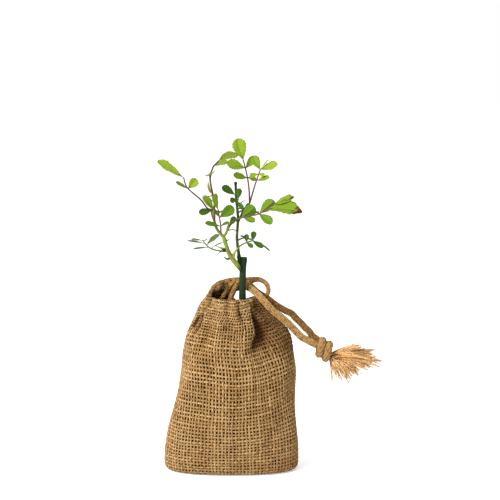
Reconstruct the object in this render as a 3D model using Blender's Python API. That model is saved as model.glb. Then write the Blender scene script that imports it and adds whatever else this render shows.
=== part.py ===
"""Rose-leaved tree sapling standing in a small jute drawstring sack that holds its root ball.

Run with: blender --background --python part.py

+Z is up and the front faces -Y.  The origin is the middle of the sack's flat underside.
Sizes are in millimetres here and become metres where a mesh is made.
"""
import bpy
import numpy as np

MM = 0.001
GAP = 0.3                       # clearance between neighbouring pieces
X, Y, Z = np.eye(3)

# ---- sack -------------------------------------------------------------------------------
CLOTH = 1.5                     # thickness of the jute wall
SACK_AROUND = 48                # points in one turn of the wall
# height, half width, half depth, sideways shift of the middle
SACK_PROFILE = (
    (0.0, 46.5, 22.5, 0.0),
    (1.4, 48.9, 24.8, 0.0),
    (5.0, 49.9, 26.2, 0.0),
    (16.0, 49.7, 27.4, 0.0),
    (30.0, 48.0, 28.0, 0.5),
    (45.0, 45.3, 27.8, 2.0),
    (60.0, 43.5, 27.0, 3.6),
    (74.0, 42.6, 26.6, 4.8),
    (87.0, 41.2, 26.0, 5.0),
    (97.0, 39.3, 24.8, 5.6),
    (105.0, 36.6, 22.8, 5.6),
    (113.0, 31.4, 20.4, 3.6),
    (121.0, 25.8, 17.6, 1.4),
    (129.0, 19.2, 14.2, 1.0),
)
INNER_HEIGHTS = (1.5, 3.0, 6.0, 16.0, 30.0, 45.0, 60.0, 74.0, 87.0, 97.0, 105.0, 113.0, 121.0, 129.0)
SQUARENESS = 2.5                # superellipse power at the base; the neck is round
ROUNDS_OFF = (70.0, 120.0)      # heights between which it becomes round
NECK_TOP = SACK_PROFILE[-1][0]
TILTS_FROM = 92.0               # height where turns of the wall start to follow the rim
LEANS_FROM = 106.0              # and where the collar starts to lean in
RIM_DROP = 2.6                  # of the rim under the neck's last turn
RIM_BACK_DROP = 4.2             # more behind the stem
RIM_BACK_AT = (78.0, 34.0)      # bearing of that and its half width
RIM_RISE = 11.6                 # of the collar left standing at the back left
RIM_RISE_AT = 125.0
RIM_RISE_HALVES = (30.0, 43.0)  # its half widths towards the back and towards the left
RIM_LEAN = 0.38                 # of its rise that the collar leans in
LIP = 1.1                       # radius of the rolled edge
LIP_STEPS = 7
LIP_SWEEP = (-20.0, 200.0)      # degrees of its circle, from outside over the top to inside
LIP_RAISE = 0.8                 # its middle over the wall's top, over its radius
RAMP = 8.0                      # height over which a deep fold comes and goes
PLEATS = ((9, 0.7, 0.95), (14, 2.2, 0.75))     # count round the neck, phase, depth
PLEATS_FROM = 84.0              # height where the gathers begin
# deep folds: bearing, half width in degrees, depth, lowest height, highest height
FOLDS = (
    (284.0, 7.0, 1.6, 96.0, 128.0),
    (318.0, 9.0, 1.2, 96.0, 128.0),
    (252.0, 9.0, 1.2, 84.0, 128.0),
    (229.0, 8.0, -1.8, 102.0, 130.0),
    (62.0, 10.0, -2.2, 90.0, 126.0),
    (118.0, 11.0, -2.8, 92.0, 126.0),
)
# overlapping folds: bearing of the crease at the foot and at the top, degrees over which the cloth
# drops in and comes back (below 0 the other way round), depth, lowest height, highest height
TUCKS = (
    (281.0, 304.0, 8.0, 34.0, 5.4, 94.0, 127.0),
    (208.0, 206.0, 7.0, -14.0, 3.6, 103.0, 115.0),
)

# ---- root ball --------------------------------------------------------------------------
BALL_CLEAR = 0.9                # between soil and cloth, over the folds' facets
BALL_SHOULDER = 105.0           # the soil leaves the cloth here
BALL_TOP = 108.0                # level top that the stem is cut to
BALL_TOP_SCALE = 0.8            # of the last turn of soil

# ---- limbs: seen routes of their middles, then radius at the foot and at the tip ---------
TRUNK_ROUTE = ((8.5, 0.0, BALL_TOP + GAP), (8.3, 0.0, 122.0), (8.3, 0.0, 138.0), (8.7, 0.0, 149.0),
               (9.5, 0.0, 158.0))
TRUNK_RADII = (2.7, 2.2)
DARK_ROUTE = ((6.2, -1.0, 152.6), (5.6, -1.8, 161.5), (4.4, -2.0, 171.8), (5.0, -2.0, 182.0),
              (5.2, -2.0, 188.0), (4.3, -2.0, 198.0), (3.8, -2.2, 204.2), (3.5, -3.0, 213.5))
DARK_RADII = (1.05, 0.75)
MAIN_ROUTE = ((6.6, -3.6, 150.2), (4.1, -4.6, 153.8), (0.4, -5.0, 158.8), (-2.1, -5.4, 163.4),
              (-3.3, -6.0, 167.2), (-5.3, -6.2, 174.0))
MAIN_RADII = (1.3, 1.1)
LEFT_ROUTE = ((-5.3, -6.2, 174.0), (-7.6, -6.8, 176.4), (-9.7, -7.2, 179.3), (-11.3, -7.6, 183.4),
              (-12.6, -8.0, 191.5), (-11.6, -8.0, 198.0), (-12.8, -8.0, 204.2), (-14.2, -7.8, 211.1),
              (-14.8, -7.0, 217.5), (-13.6, -6.0, 222.1), (-12.4, -5.0, 225.2))
LEFT_RADII = (1.05, 0.6)
SIDE_ROUTE = ((6.6, -1.0, 185.6), (7.4, 0.4, 188.6), (9.2, 2.4, 192.6), (13.4, 4.6, 197.0))
SIDE_RADII = (0.7, 0.6)
LIMB_SIDES = 8
LIMB_STEPS = 3                  # points between two of a route's own
FINE = 200                      # samples of a route that others are seated on

# ---- leaves ------------------------------------------------------------------------------
STALK_RADII = (0.45, 0.28)
STALK_SIDES = 3
LAST_ROOT = 0.975               # the end leaflet's root lies inside the stalk's end
LEAFLET_THICK = 0.4             # at the rib
LEAFLET_TIP = 0.3               # half size of the blunt tip over that thickness
LEAFLET_BREADTH = 0.5           # true breadth over length, at least
NARROWEST = 1.8                 # unless that is more than so many times the shown breadth
LEAFLET_CUP = 0.10              # rise of the edges over the breadth
LEAFLET_DROOP = 0.05            # fall of the tip over the length
STEEPEST = 0.7                  # a leaflet's run in depth over its seen length, at most
# distance along a leaflet, and its half breadth there
LEAFLET_STATIONS = ((0.0, 0.10), (0.16, 0.30), (0.42, 0.82), (0.66, 1.0), (0.88, 0.66))

# Each pinnate leaf: the limb it stands on, the route of its stalk, the plane it lies in (the way
# its upper side faces), and its leaflets as place along the stalk, heading in the front view in
# degrees, length, breadth as it shows from the front and, for a bent one, the share of its length
# that its tip swings anticlockwise.
LEAVES = {
    "leaf_top": ("side_shoot",
        ((14.4, 6.2, 198.4), (13.2, 7.0, 207.0), (11.8, 9.0, 216.8), (8.9, 11.0, 228.7)), (0.4, -0.8, 0.3),
        ((1.00, 106, 16.3, 9.9), (0.83, 164, 13.5, 6.6), (0.62, 165, 10.4, 4.6),
         (0.82, 48, 12.4, 6.4), (0.64, -18, 6.8, 3.4))),
    "leaf_top_right": ("side_shoot",
        ((14.6, 4.0, 198.2), (15.5, 3.0, 203.9), (18.3, 1.0, 213.3), (21.5, -2.0, 222.8)),
        (-0.3, -0.8, 0.4),
        ((0.98, 118, 11.0, 5.4), (1.00, 13, 13.2, 5.4), (0.96, 57, 10.2, 1.2), (0.87, -160, 7.4, 3.4),
         (0.87, -8, 4.2, 3.0), (0.70, 17, 9.3, 3.0))),
    "leaf_right": ("main_shoot",
        ((-4.2, -5.6, 175.6), (-1.0, -6.4, 183.2), (5.2, -7.4, 187.2), (13.2, -10.0, 189.6),
         (20.6, -13.0, 191.6), (31.2, -15.0, 198.8)), (0.1, -0.8, 0.6),
        ((0.24, 62, 7.6, 4.4), (0.53, 38, 12.8, 8.4), (0.50, -14, 8.8, 4.0), (0.79, -27, 11.3, 5.8),
         (0.80, 52, 12.9, 7.6), (1.00, 23, 16.0, 4.0), (0.88, 20, 25.5, 7.0, -0.35))),
    "leaf_left": ("left_branch",
        ((-13.2, -9.0, 193.4), (-17.0, -11.2, 195.6), (-21.4, -14.4, 201.8), (-30.0, -19.4, 210.0),
         (-32.8, -21.0, 214.2), (-34.2, -22.0, 218.4)), (-0.3, -0.8, 0.5),
        ((0.03, -172, 9.6, 4.9), (0.00, 112, 13.6, 4.2), (0.57, 45, 8.6, 6.0), (0.57, 154, 8.9, 1.6),
         (1.00, 142, 21.7, 5.2))),
    "leaf_arched": ("left_branch",
        ((-11.8, -4.0, 226.4), (-9.2, -3.0, 228.3), (-6.3, -1.0, 231.1)), (-0.2, -0.8, 0.6),
        ((0.02, 30, 10.4, 4.4, -0.2), (0.55, 38, 13.4, 6.4, -0.35))),
    "leaf_middle": ("left_branch",
        ((-6.6, -9.0, 176.7), (-7.4, -10.0, 183.8), (-8.3, -11.0, 189.3), (-9.0, -12.0, 194.4)),
        (0.2, -0.8, 0.3),
        ((0.25, 164, 11.3, 2.9), (0.26, 24, 6.9, 2.2), (0.62, 34, 12.7, 6.6), (0.65, 128, 4.6, 1.8),
         (1.00, 101, 12.0, 4.2))),
    "stem_leaf_left": ("dark_stem",
        ((3.0, -2.0, 200.7), (2.6, 0.0, 204.1)), (0.3, -0.8, 0.6),
        ((0.92, 146, 11.2, 5.2), (0.35, -158, 5.2, 4.2))),
    "stem_leaf_right": ("dark_stem",
        ((5.6, -2.4, 198.5), (5.6, -3.4, 201.3)), (-0.4, -0.8, 0.4),
        ((0.92, 84, 8.2, 4.4), (0.30, -52, 6.4, 3.4))),
    "leaf_low_left": ("main_shoot",
        ((-3.5, -4.8, 162.6), (-11.6, 0.0, 164.0), (-16.9, 4.0, 167.0), (-20.9, 8.0, 171.0)),
        (-0.2, -0.8, 0.6),
        ((0.64, -176, 11.6, 1.2), (0.83, 174, 14.3, 1.2), (1.00, 172, 7.6, 1.2), (0.96, 26, 3.4, 1.0),
         (0.73, 42, 12.4, 2.8), (0.50, 38, 9.2, 1.2, -0.3))),
    "leaf_low_right": ("main_shoot",
        ((2.5, -5.9, 160.6), (5.9, -8.0, 166.8), (11.0, -11.0, 170.2), (16.3, -14.0, 172.3)),
        (0.1, -0.8, 0.6),
        ((0.69, 89, 6.0, 3.5), (0.97, 82, 6.7, 4.2), (0.69, -30, 5.5, 3.3), (0.96, -26, 8.6, 3.4),
         (1.00, -16, 14.6, 1.2, -0.2))),
    "leaf_back_right": ("dark_stem",
        ((5.6, -0.6, 191.0), (8.2, 6.0, 191.6), (12.0, 13.0, 191.0), (15.0, 20.0, 189.0)),
        (0.0, -0.5, 0.9),
        ((0.45, 10, 9.0, 5.0), (0.48, 125, 8.0, 4.0), (0.72, 14, 9.0, 4.4), (0.76, 118, 8.6, 4.0),
         (1.00, 66, 11.0, 6.0))),
    "leaf_back_left": ("left_branch",
        ((-12.0, -6.4, 190.0), (-12.2, 1.0, 191.0), (-10.6, 9.0, 191.0), (-8.4, 17.0, 189.0)),
        (0.0, -0.5, 0.9),
        ((0.45, 30, 8.0, 4.4), (0.48, 140, 8.0, 4.0), (0.72, 26, 8.4, 4.4), (0.76, 136, 8.4, 4.0),
         (1.00, 78, 11.0, 5.6))),
    "leaf_back_low": ("dark_stem",
        ((5.0, -0.4, 170.4), (7.4, 4.0, 171.2), (10.0, 9.0, 171.0), (12.4, 14.0, 169.6)),
        (0.0, -0.5, 0.9),
        ((0.60, 12, 7.0, 3.6), (0.66, 118, 7.0, 3.6), (1.00, 60, 8.0, 4.4))),
}

# ---- drawstring: one braided cord, doubled, knotted and frayed at its end -----------------
CORD_RADIUS = 1.75
LOWER_ROUTE = ((13.8, 2.4, 134.2), (15.8, -0.8, 132.4), (18.7, -5.2, 129.8), (23.4, -8.4, 125.3),
               (28.5, -8.8, 120.8), (33.7, -8.6, 116.2), (38.3, -8.3, 112.2), (41.3, -8.1, 108.3),
               (44.8, -8.1, 103.6), (47.5, -8.1, 100.8), (50.7, -8.1, 98.7), (56.3, -8.0, 96.6),
               (62.6, -7.9, 94.1))
UPPER_ROUTE = ((15.0, 6.8, 134.6), (18.7, 5.6, 131.8), (22.4, 4.5, 130.2), (26.3, 2.4, 128.8),
               (29.7, 0.2, 126.6), (33.4, -1.8, 124.3), (39.3, -3.6, 120.0), (44.5, -4.2, 116.8),
               (47.1, -4.6, 113.5), (51.0, -5.2, 109.7), (54.3, -5.8, 106.8), (57.2, -6.3, 104.2),
               (59.5, -6.8, 101.0), (63.8, -7.2, 98.0))
CORD_STEPS = 3                  # points between two of the route's own
KNOT_MIDDLE = (68.5, -7.5, 90.9)
KNOT_HALF = (4.6, 4.4, 6.4)     # of its core
KNOT_LEAN = 15.0                # degrees, top towards the tassel
# the cord's turns round the knot: middle, half height, half depth
KNOT_WRAPS = (((65.8, -7.5, 92.6), 5.2, 3.2), ((70.5, -7.9, 89.7), 5.4, 3.4))
KNOT_SIDES = 16
KNOT_CORE = np.radians(np.linspace(-78.0, 78.0, 9))   # latitudes of the core
TURN_RADIUS = 2.8
TASSEL_ROOT = (73.6, -7.5, 85.8)
TASSEL_CORE = (3.4, 11.0, 1.6)  # radius at the knot, length, radius at its end
TASSEL_SIDES = 10
# heading in degrees and reach of the frayed locks
TASSEL_REACH = ((24.0, 20.0), (14.0, 29.0), (6.0, 35.0), (-1.0, 37.0), (-9.0, 36.5), (-18.0, 35.0),
                (-22.0, 27.0), (-30.0, 26.0), (-44.0, 24.0), (-53.0, 15.0), (-66.0, 14.0), (-84.0, 17.0))
TASSEL_LOCKS = 20
LOCK_RADIUS = 1.5
LOCK_TAPER = 0.35               # radius at the tip over that at the root
LOCK_SIDES = 4
LOCK_POINTS = 5
LOCK_SHORTEST = 0.86            # of its reach
LOCK_SAG = (-0.6, 0.8)          # of its middle
TASSEL_DEPTH = 0.34             # sideways spread over the reach
GOLDEN_TURN = 2.4               # radians from one lock's depth to the next's

# ---- the loop of hem pulled up where the cord leaves the sack ------------------------------
HEM_LOOP_ROUTE = ((-1.2, 12.8, 135.3), (5.0, 13.4, 136.2), (10.9, 12.5, 137.6),
                  (16.1, 11.0, 139.6), (21.3, 9.6, 140.0), (25.8, 8.2, 137.4), (27.4, 7.2, 132.8),
                  (25.2, 7.2, 128.4))
HEM_LOOP_HEIGHTS = (5.0, 4.8, 3.8, 2.4, 1.9, 1.9, 1.9, 1.8)
HEM_LOOP_THICK = 1.7
HEM_LOOP_SIDES = 8

# ---- colours -------------------------------------------------------------------------------
JUTE = (0.35, 0.20, 0.085)
PALE_JUTE = (0.52, 0.31, 0.14)
SOIL = (0.035, 0.02, 0.012)
DARK_BARK = (0.02, 0.05, 0.015)
PALE_BARK = (0.30, 0.34, 0.09)
LEAF_GREEN = (0.16, 0.33, 0.04)
DEEP_GREEN = (0.07, 0.19, 0.03)


# ---- curves and meshes -------------------------------------------------------------------
def unit(v):
    return v / np.linalg.norm(v)


def smooth_through(points, count):
    """Evenly numbered samples of a Catmull-Rom curve through rows of any width."""
    p = np.array(points, float)
    ends = np.vstack([2 * p[0] - p[1], p, 2 * p[-1] - p[-2]])
    t = np.linspace(0, len(p) - 1, count)
    i = np.minimum(t.astype(int), len(p) - 2)
    u = (t - i)[:, None]
    a, b, c, d = ends[i], ends[i + 1], ends[i + 2], ends[i + 3]
    curve = 2 * b + (c - a) * u + (2 * a - 5 * b + 4 * c - d) * u**2 + (3 * b - a - 3 * c + d) * u**3
    return curve / 2


def ease(value, low, high):
    """0 below low, 1 above high, smooth between."""
    t = np.clip((value - low) / (high - low), 0, 1)
    return t * t * (3 - 2 * t)


def skin(rings):
    """Vertices and faces of a closed solid through rings of equal count, flat at both ends.

    Each four-sided patch is split along its shorter diagonal."""
    rings = np.array(rings)
    turns, around, _ = rings.shape
    points = rings.reshape(-1, 3)
    faces = []
    for k in range(turns - 1):
        for j in range(around):
            low, low_next = k * around + j, k * around + (j + 1) % around
            high, high_next = low + around, low_next + around
            rising = np.linalg.norm(points[low] - points[high_next])
            falling = np.linalg.norm(points[low_next] - points[high])
            if rising < falling:
                faces += [(low, low_next, high_next), (low, high_next, high)]
            else:
                faces += [(low, low_next, high), (low_next, high_next, high)]
    faces.append(tuple(range(around - 1, -1, -1)))
    faces.append(tuple(range((turns - 1) * around, turns * around)))
    return points, faces


def frames(route):
    """Two directions across a route at each point, carried along it without twist."""
    along = np.gradient(route, axis=0)
    along /= np.linalg.norm(along, axis=1)[:, None]
    side = unit(np.cross(along[0], Y if abs(along[0][1]) < 0.9 else X))
    sides = []
    for t in along:
        side = unit(side - t * (side @ t))
        sides.append(side)
    sides = np.array(sides)
    return sides, np.cross(along, sides)


def tube(route, radii, sides):
    """A round tube with flat ends."""
    route = np.array(route)
    across, up = frames(route)
    angle = np.arange(sides) * 2 * np.pi / sides
    radii = np.broadcast_to(radii, len(route))[:, None, None]
    cos, sin = np.cos(angle)[None, :, None], np.sin(angle)[None, :, None]
    return skin(route[:, None] + radii * (cos * across[:, None] + sin * up[:, None]))


def mesh_object(name, shape, colour, roughness=0.8, collection=None):
    """An object from vertices in millimetres and faces."""
    mesh = bpy.data.meshes.new(name)
    mesh.from_pydata((np.array(shape[0]) * MM).tolist(), [], shape[1])
    mesh.shade_smooth()
    mesh.set_sharp_from_angle(angle=np.radians(40))
    obj = bpy.data.objects.new(name, mesh)
    (collection or bpy.context.scene.collection).objects.link(obj)
    if colour:
        mesh.materials.append(finish(name, colour, roughness))
    return obj


def finish(name, colour, roughness):
    material = bpy.data.materials.new(name)
    material.use_nodes = True
    shader = material.node_tree.nodes["Principled BSDF"]
    shader.inputs["Base Color"].default_value = (*colour, 1)
    shader.inputs["Roughness"].default_value = roughness
    shader.inputs["Metallic"].default_value = 0.0
    return material


def fuse(name, shapes, colour):
    """One closed solid from overlapping shapes, by one Boolean union on a collection."""
    obj = mesh_object(name, shapes[0], colour)
    loose = bpy.data.collections.new(name + "_loose")
    bpy.context.scene.collection.children.link(loose)
    for k, shape in enumerate(shapes[1:]):
        mesh_object(f"{name}_{k}", shape, None, collection=loose)
    union = obj.modifiers.new("union", "BOOLEAN")
    union.operation = "UNION"
    union.operand_type = "COLLECTION"
    union.collection = loose
    union.solver = "EXACT"
    union.use_self = True
    graph = bpy.context.evaluated_depsgraph_get()
    joined = bpy.data.meshes.new_from_object(obj.evaluated_get(graph))
    obj.modifiers.clear()
    obj.data = joined
    for piece in list(loose.objects):
        bpy.data.objects.remove(piece)
    bpy.data.collections.remove(loose)
    return obj


# ---- sack ----------------------------------------------------------------------------------
def folds(bearing, height):
    """Outward push of the cloth: gathers that grow towards the neck, and a few deep folds."""
    degrees = np.degrees(bearing) % 360
    push = 0.0
    for count, phase, depth in PLEATS:
        push = push + depth * np.cos(count * bearing + phase) * ease(height, PLEATS_FROM, NECK_TOP)
    for middle, half, depth, low, high in FOLDS:
        away = (degrees - middle + 180) % 360 - 180
        shown = ease(height, low - RAMP, low + RAMP) * (1 - ease(height, high - RAMP, high + RAMP))
        push = push + depth * np.exp(-((away / half) ** 2)) * shown
    for crease, upper, steep, slow, depth, low, high in TUCKS:
        crease = crease + (upper - crease) * np.clip((height - low) / (high - low), 0, 1)
        away = ((degrees - crease + 180) % 360 - 180) * np.sign(slow)
        shown = ease(height, low - 2 * RAMP, low + RAMP) * (1 - ease(height, high - RAMP / 2, high + RAMP / 2))
        push = push - depth * np.exp(-((away / np.where(away < 0, steep, slow)) ** 2)) * shown
    return push


def rim_height(bearing):
    """The rim's height above or below the neck's, round the mouth."""
    degrees = np.degrees(bearing) % 360
    away = degrees - RIM_RISE_AT
    backward, leftward = RIM_RISE_HALVES
    rise = RIM_RISE * np.where(away < 0, np.exp(-np.abs(away / backward) ** 4),
                               np.exp(-np.abs(away / leftward) ** 1.6))
    middle, half = RIM_BACK_AT
    return rise - RIM_DROP - RIM_BACK_DROP * np.exp(-((degrees - middle) / half) ** 2)


def sack_turns(rows, inset):
    """Turns of the sack wall at profile rows (height, half width, half depth, shift)."""
    bearing = np.arange(SACK_AROUND) * 2 * np.pi / SACK_AROUND
    height, wide, deep, shift = np.array(rows).T[:, :, None]
    power = 2 / (SQUARENESS - (SQUARENESS - 2) * ease(height, *ROUNDS_OFF))
    cos, sin = np.cos(bearing), np.sin(bearing)
    push = folds(bearing, height) - inset
    push = push - RIM_LEAN * np.clip(rim_height(bearing), 0, None) * ease(height, LEANS_FROM, NECK_TOP)
    x = shift + (wide + push) * np.sign(cos) * np.abs(cos) ** power
    y = (deep + push) * np.sign(sin) * np.abs(sin) ** power
    z = height + rim_height(bearing) * ease(height, TILTS_FROM, NECK_TOP)
    return np.stack([x, y, z], axis=-1)


def profile_at(heights):
    """Rows of the sack's profile at chosen heights."""
    fine = smooth_through(SACK_PROFILE, 2 * FINE)
    return [[h, *(np.interp(h, fine[:, 0], fine[:, k]) for k in (1, 2, 3))] for h in heights]


def make_sack():
    outer = sack_turns(SACK_PROFILE, 0.0)
    inner = sack_turns(profile_at(INNER_HEIGHTS), CLOTH)
    outward = outer[-1] - inner[-1]
    outward /= np.linalg.norm(outward, axis=1)[:, None]
    centre = (outer[-1] + inner[-1]) / 2 + Z * LIP * LIP_RAISE
    lip = [centre + LIP * (np.cos(a) * outward + np.sin(a) * Z)
           for a in np.radians(np.linspace(*LIP_SWEEP, LIP_STEPS))]
    return mesh_object("jute_sack", skin([*outer, *lip, *inner[::-1]]), JUTE, 0.95)


def make_root_ball():
    turns = sack_turns(profile_at([h for h in INNER_HEIGHTS if h <= BALL_SHOULDER]), CLOTH + BALL_CLEAR)
    turns[0, :, 2] += GAP
    top = turns[-1].copy()
    middle = top.mean(axis=0)
    top = middle + (top - middle) * BALL_TOP_SCALE
    top[:, 2] = BALL_TOP
    return mesh_object("root_ball", skin([*turns, top]), SOIL, 0.95)


# ---- limbs ---------------------------------------------------------------------------------
limbs = {}


def limb(name, route, radii, colour):
    """One tapering limb, kept so that others can stand on it."""
    path = smooth_through(route, (len(route) - 1) * LIMB_STEPS + 1)
    thick = np.linspace(*radii, len(path))
    limbs[name] = (smooth_through(route, FINE), np.linspace(*radii, FINE))
    return mesh_object(name, tube(path, thick, LIMB_SIDES), colour, 0.6)


def seat(host, near, radius):
    """The foot of a limb of some radius, a gap clear of its host's side, nearest to a point."""
    path, thick = limbs[host]
    k = int(np.argmin(np.linalg.norm(path - near, axis=1)))
    along = unit(np.gradient(path, axis=0)[k])
    away = np.array(near) - path[k]
    away = unit(away - along * (away @ along))
    return path[k] + away * (thick[k] + GAP + radius)


def on_tip(host, route, radius):
    """A route that carries on from its host's tip; its flat foot clears the tip on a bend too."""
    route = np.array(route)
    path = limbs[host][0]
    ahead = unit(route[1] - route[0])
    bend = np.linalg.norm(np.cross(unit(path[-1] - path[-2]), ahead))
    route[0] = path[-1] + ahead * (GAP + radius * bend)
    return route


def on_side(host, route, radius):
    route = np.array(route)
    route[0] = seat(host, route[0], radius)
    return route


def make_limbs():
    limb("trunk", TRUNK_ROUTE, TRUNK_RADII, DARK_BARK)
    limb("dark_stem", on_side("trunk", DARK_ROUTE, DARK_RADII[0]), DARK_RADII, DARK_BARK)
    limb("main_shoot", on_side("trunk", MAIN_ROUTE, MAIN_RADII[0]), MAIN_RADII, PALE_BARK)
    limb("left_branch", on_tip("main_shoot", LEFT_ROUTE, LEFT_RADII[0]), LEFT_RADII, PALE_BARK)
    limb("side_shoot", on_side("dark_stem", SIDE_ROUTE, SIDE_RADII[0]), SIDE_RADII, PALE_BARK)


# ---- leaves --------------------------------------------------------------------------------
def leaflet(root, facing, heading, length, shown, bend=0.0):
    """A cupped, drooping blade, widest past its middle, thin at the edges and thick at the rib.

    It heads as given in the front view and runs in depth with the leaf's plane, and it is
    rolled about its length until its true breadth shows as much as wanted from the front.
    A bend swings its tip anticlockwise in its own plane by that share of its length."""
    a = np.radians(heading)
    look, rise = (Y, Z) if abs(facing[1]) > abs(facing[2]) else (Z, Y)
    axis = np.cos(a) * X + np.sin(a) * rise
    slope = -(facing @ axis) / (facing @ look)
    axis = axis + look * np.clip(slope, -STEEPEST, STEEPEST)
    length = length * np.linalg.norm(axis)
    axis = unit(axis)
    breadth = max(shown, min(LEAFLET_BREADTH * length, NARROWEST * shown))
    flat = unit(np.cross(axis, look))
    deep = unit(look - axis * (axis @ look))
    roll = np.arccos(min(1.0, shown / breadth))
    side = np.cos(roll) * flat + np.sin(roll) * deep
    upper = np.cross(side, axis)
    if upper[2] * upper[1] > 0:
        side = np.cos(roll) * flat - np.sin(roll) * deep
        upper = np.cross(side, axis)
    if upper[2] < 0:
        side, upper = -side, -upper
    swing = side * np.sign(side @ (rise * np.cos(a) - X * np.sin(a))) * bend - upper * LEAFLET_DROOP
    rings = []
    for place, half in LEAFLET_STATIONS:
        rib = root + (axis * place + swing * place**2) * length
        edge = side * breadth * 0.5 * half
        lift = upper * breadth * LEAFLET_CUP * half
        core = upper * LEAFLET_THICK * 0.5
        rings.append([rib + edge + lift, rib - core, rib - edge + lift, rib + core])
    tip = root + (axis + swing) * length
    small = np.array([side, -upper, -side, upper]) * LEAFLET_THICK * LEAFLET_TIP
    rings.append(tip + small)
    return skin(rings)


def make_leaf(name, host, route, facing, leaflets):
    radius = STALK_RADII[0]
    route = on_side(host, route, radius)
    stalk = smooth_through(route, (len(route) - 1) * LIMB_STEPS + 1)
    fine = smooth_through(route, FINE)
    ahead = unit(fine[-1] - fine[0])
    facing = np.array(facing)
    facing = unit(facing - ahead * (facing @ ahead))
    shapes = [tube(stalk, np.linspace(*STALK_RADII, len(stalk)), STALK_SIDES)]
    for place, *leaf in leaflets:
        root = fine[int(min(place, LAST_ROOT) * (FINE - 1))]
        shapes.append(leaflet(root, facing, *leaf))
    return fuse(name, shapes, DEEP_GREEN if host == "dark_stem" else LEAF_GREEN)


# ---- drawstring, knot, tassel and hem loop ---------------------------------------------------
def make_cord(name, route):
    """A POLY curve with a round bevel and filled ends."""
    curve = bpy.data.curves.new(name, "CURVE")
    curve.dimensions = "3D"
    curve.bevel_depth = CORD_RADIUS * MM
    curve.bevel_resolution = 2
    curve.use_fill_caps = True
    path = smooth_through(route, (len(route) - 1) * CORD_STEPS + 1) * MM
    line = curve.splines.new("POLY")
    line.points.add(len(path) - 1)
    for point, place in zip(line.points, path):
        point.co = (*place, 1)
    curve.materials.append(finish(name, PALE_JUTE, 0.9))
    obj = bpy.data.objects.new(name, curve)
    bpy.context.scene.collection.objects.link(obj)
    return obj


def turned(points, degrees, middle):
    """Points turned in the front view about a middle."""
    a = np.radians(degrees)
    spin = np.array([[np.cos(a), 0, np.sin(a)], [0, 1, 0], [-np.sin(a), 0, np.cos(a)]])
    return (np.array(points) - middle) @ spin.T + middle


def make_knot():
    """A core with two turns of the cord lying round it side by side."""
    middle, half = np.array(KNOT_MIDDLE), np.array(KNOT_HALF)
    bearing = np.arange(KNOT_SIDES) * 2 * np.pi / KNOT_SIDES
    circle = np.stack([np.cos(bearing), np.sin(bearing), 0 * bearing], axis=-1)
    vertices, faces = skin([middle + half * (circle * np.cos(r) + Z * np.sin(r)) for r in KNOT_CORE])
    shapes = [(turned(vertices, KNOT_LEAN, middle), faces)]
    n, m = KNOT_SIDES, KNOT_SIDES // 2
    faces = [(i * m + j, (i + 1) % n * m + j, (i + 1) % n * m + (j + 1) % m, i * m + (j + 1) % m)
             for i in range(n) for j in range(m)]
    for spot, tall, deep in KNOT_WRAPS:
        ring = []
        for b in bearing:
            out = np.array([0.0, np.cos(b), np.sin(b)])
            rope = np.array(spot) + out * (0.0, deep, tall)
            ring.append([rope + TURN_RADIUS * (np.cos(a) * out + np.sin(a) * X) for a in bearing[::2]])
        shapes.append((turned(np.reshape(ring, (-1, 3)), KNOT_LEAN, np.array(spot)), faces))
    return fuse("knot", shapes, PALE_JUTE)


def make_tassel():
    root = np.array(TASSEL_ROOT)
    headings, reaches = np.array(TASSEL_REACH).T
    mean = np.radians(headings.mean())
    axis = np.array([np.cos(mean), 0, np.sin(mean)])
    wide, length, narrow = TASSEL_CORE
    core = np.array([root, root + axis * length * 0.5, root + axis * length])
    shapes = [tube(core, np.array([wide, (wide + narrow) / 2, narrow]), TASSEL_SIDES)]
    rng = np.random.default_rng(5)
    thick = np.linspace(LOCK_RADIUS, LOCK_RADIUS * LOCK_TAPER, LOCK_POINTS)
    for k in range(TASSEL_LOCKS):
        share = (k + 0.5) / TASSEL_LOCKS
        spread = np.linspace(0, 1, len(headings))
        heading = np.interp(share, spread, headings)
        reach = np.interp(share, spread, reaches) * rng.uniform(LOCK_SHORTEST, 1.0)
        a = np.radians(heading)
        way = unit(np.array([np.cos(a), TASSEL_DEPTH * np.sin(k * GOLDEN_TURN), np.sin(a)]))
        start = root + axis * wide
        bend = start + way * reach * 0.5 + Z * rng.uniform(*LOCK_SAG)
        path = smooth_through([start, bend, root + way * reach], LOCK_POINTS)
        shapes.append(tube(path, thick, LOCK_SIDES))
    return fuse("tassel", shapes, PALE_JUTE)


def make_hem_loop():
    rows = np.column_stack([HEM_LOOP_ROUTE, HEM_LOOP_HEIGHTS])
    fine = smooth_through(rows, (len(rows) - 1) * LIMB_STEPS + 1)
    route, tall = fine[:, :3], fine[:, 3]
    along = np.gradient(route, axis=0)
    out = np.cross(along, Z)
    out /= np.linalg.norm(out, axis=1)[:, None]
    up = np.cross(out, along)
    up /= np.linalg.norm(up, axis=1)[:, None]
    angle = np.arange(HEM_LOOP_SIDES) * 2 * np.pi / HEM_LOOP_SIDES
    rings = [p - HEM_LOOP_THICK * np.cos(angle)[:, None] * o + h * np.sin(angle)[:, None] * u
             for p, o, u, h in zip(route, out, up, tall)]
    return mesh_object("hem_loop", skin(rings), JUTE, 0.95)


def main():
    for old in list(bpy.data.objects):
        bpy.data.objects.remove(old)
    make_sack()
    make_root_ball()
    make_limbs()
    for name, leaf in LEAVES.items():
        make_leaf(name, *leaf)
    make_cord("cord_lower", LOWER_ROUTE)
    make_cord("cord_upper", UPPER_ROUTE)
    make_knot()
    make_tassel()
    make_hem_loop()


main()
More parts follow.
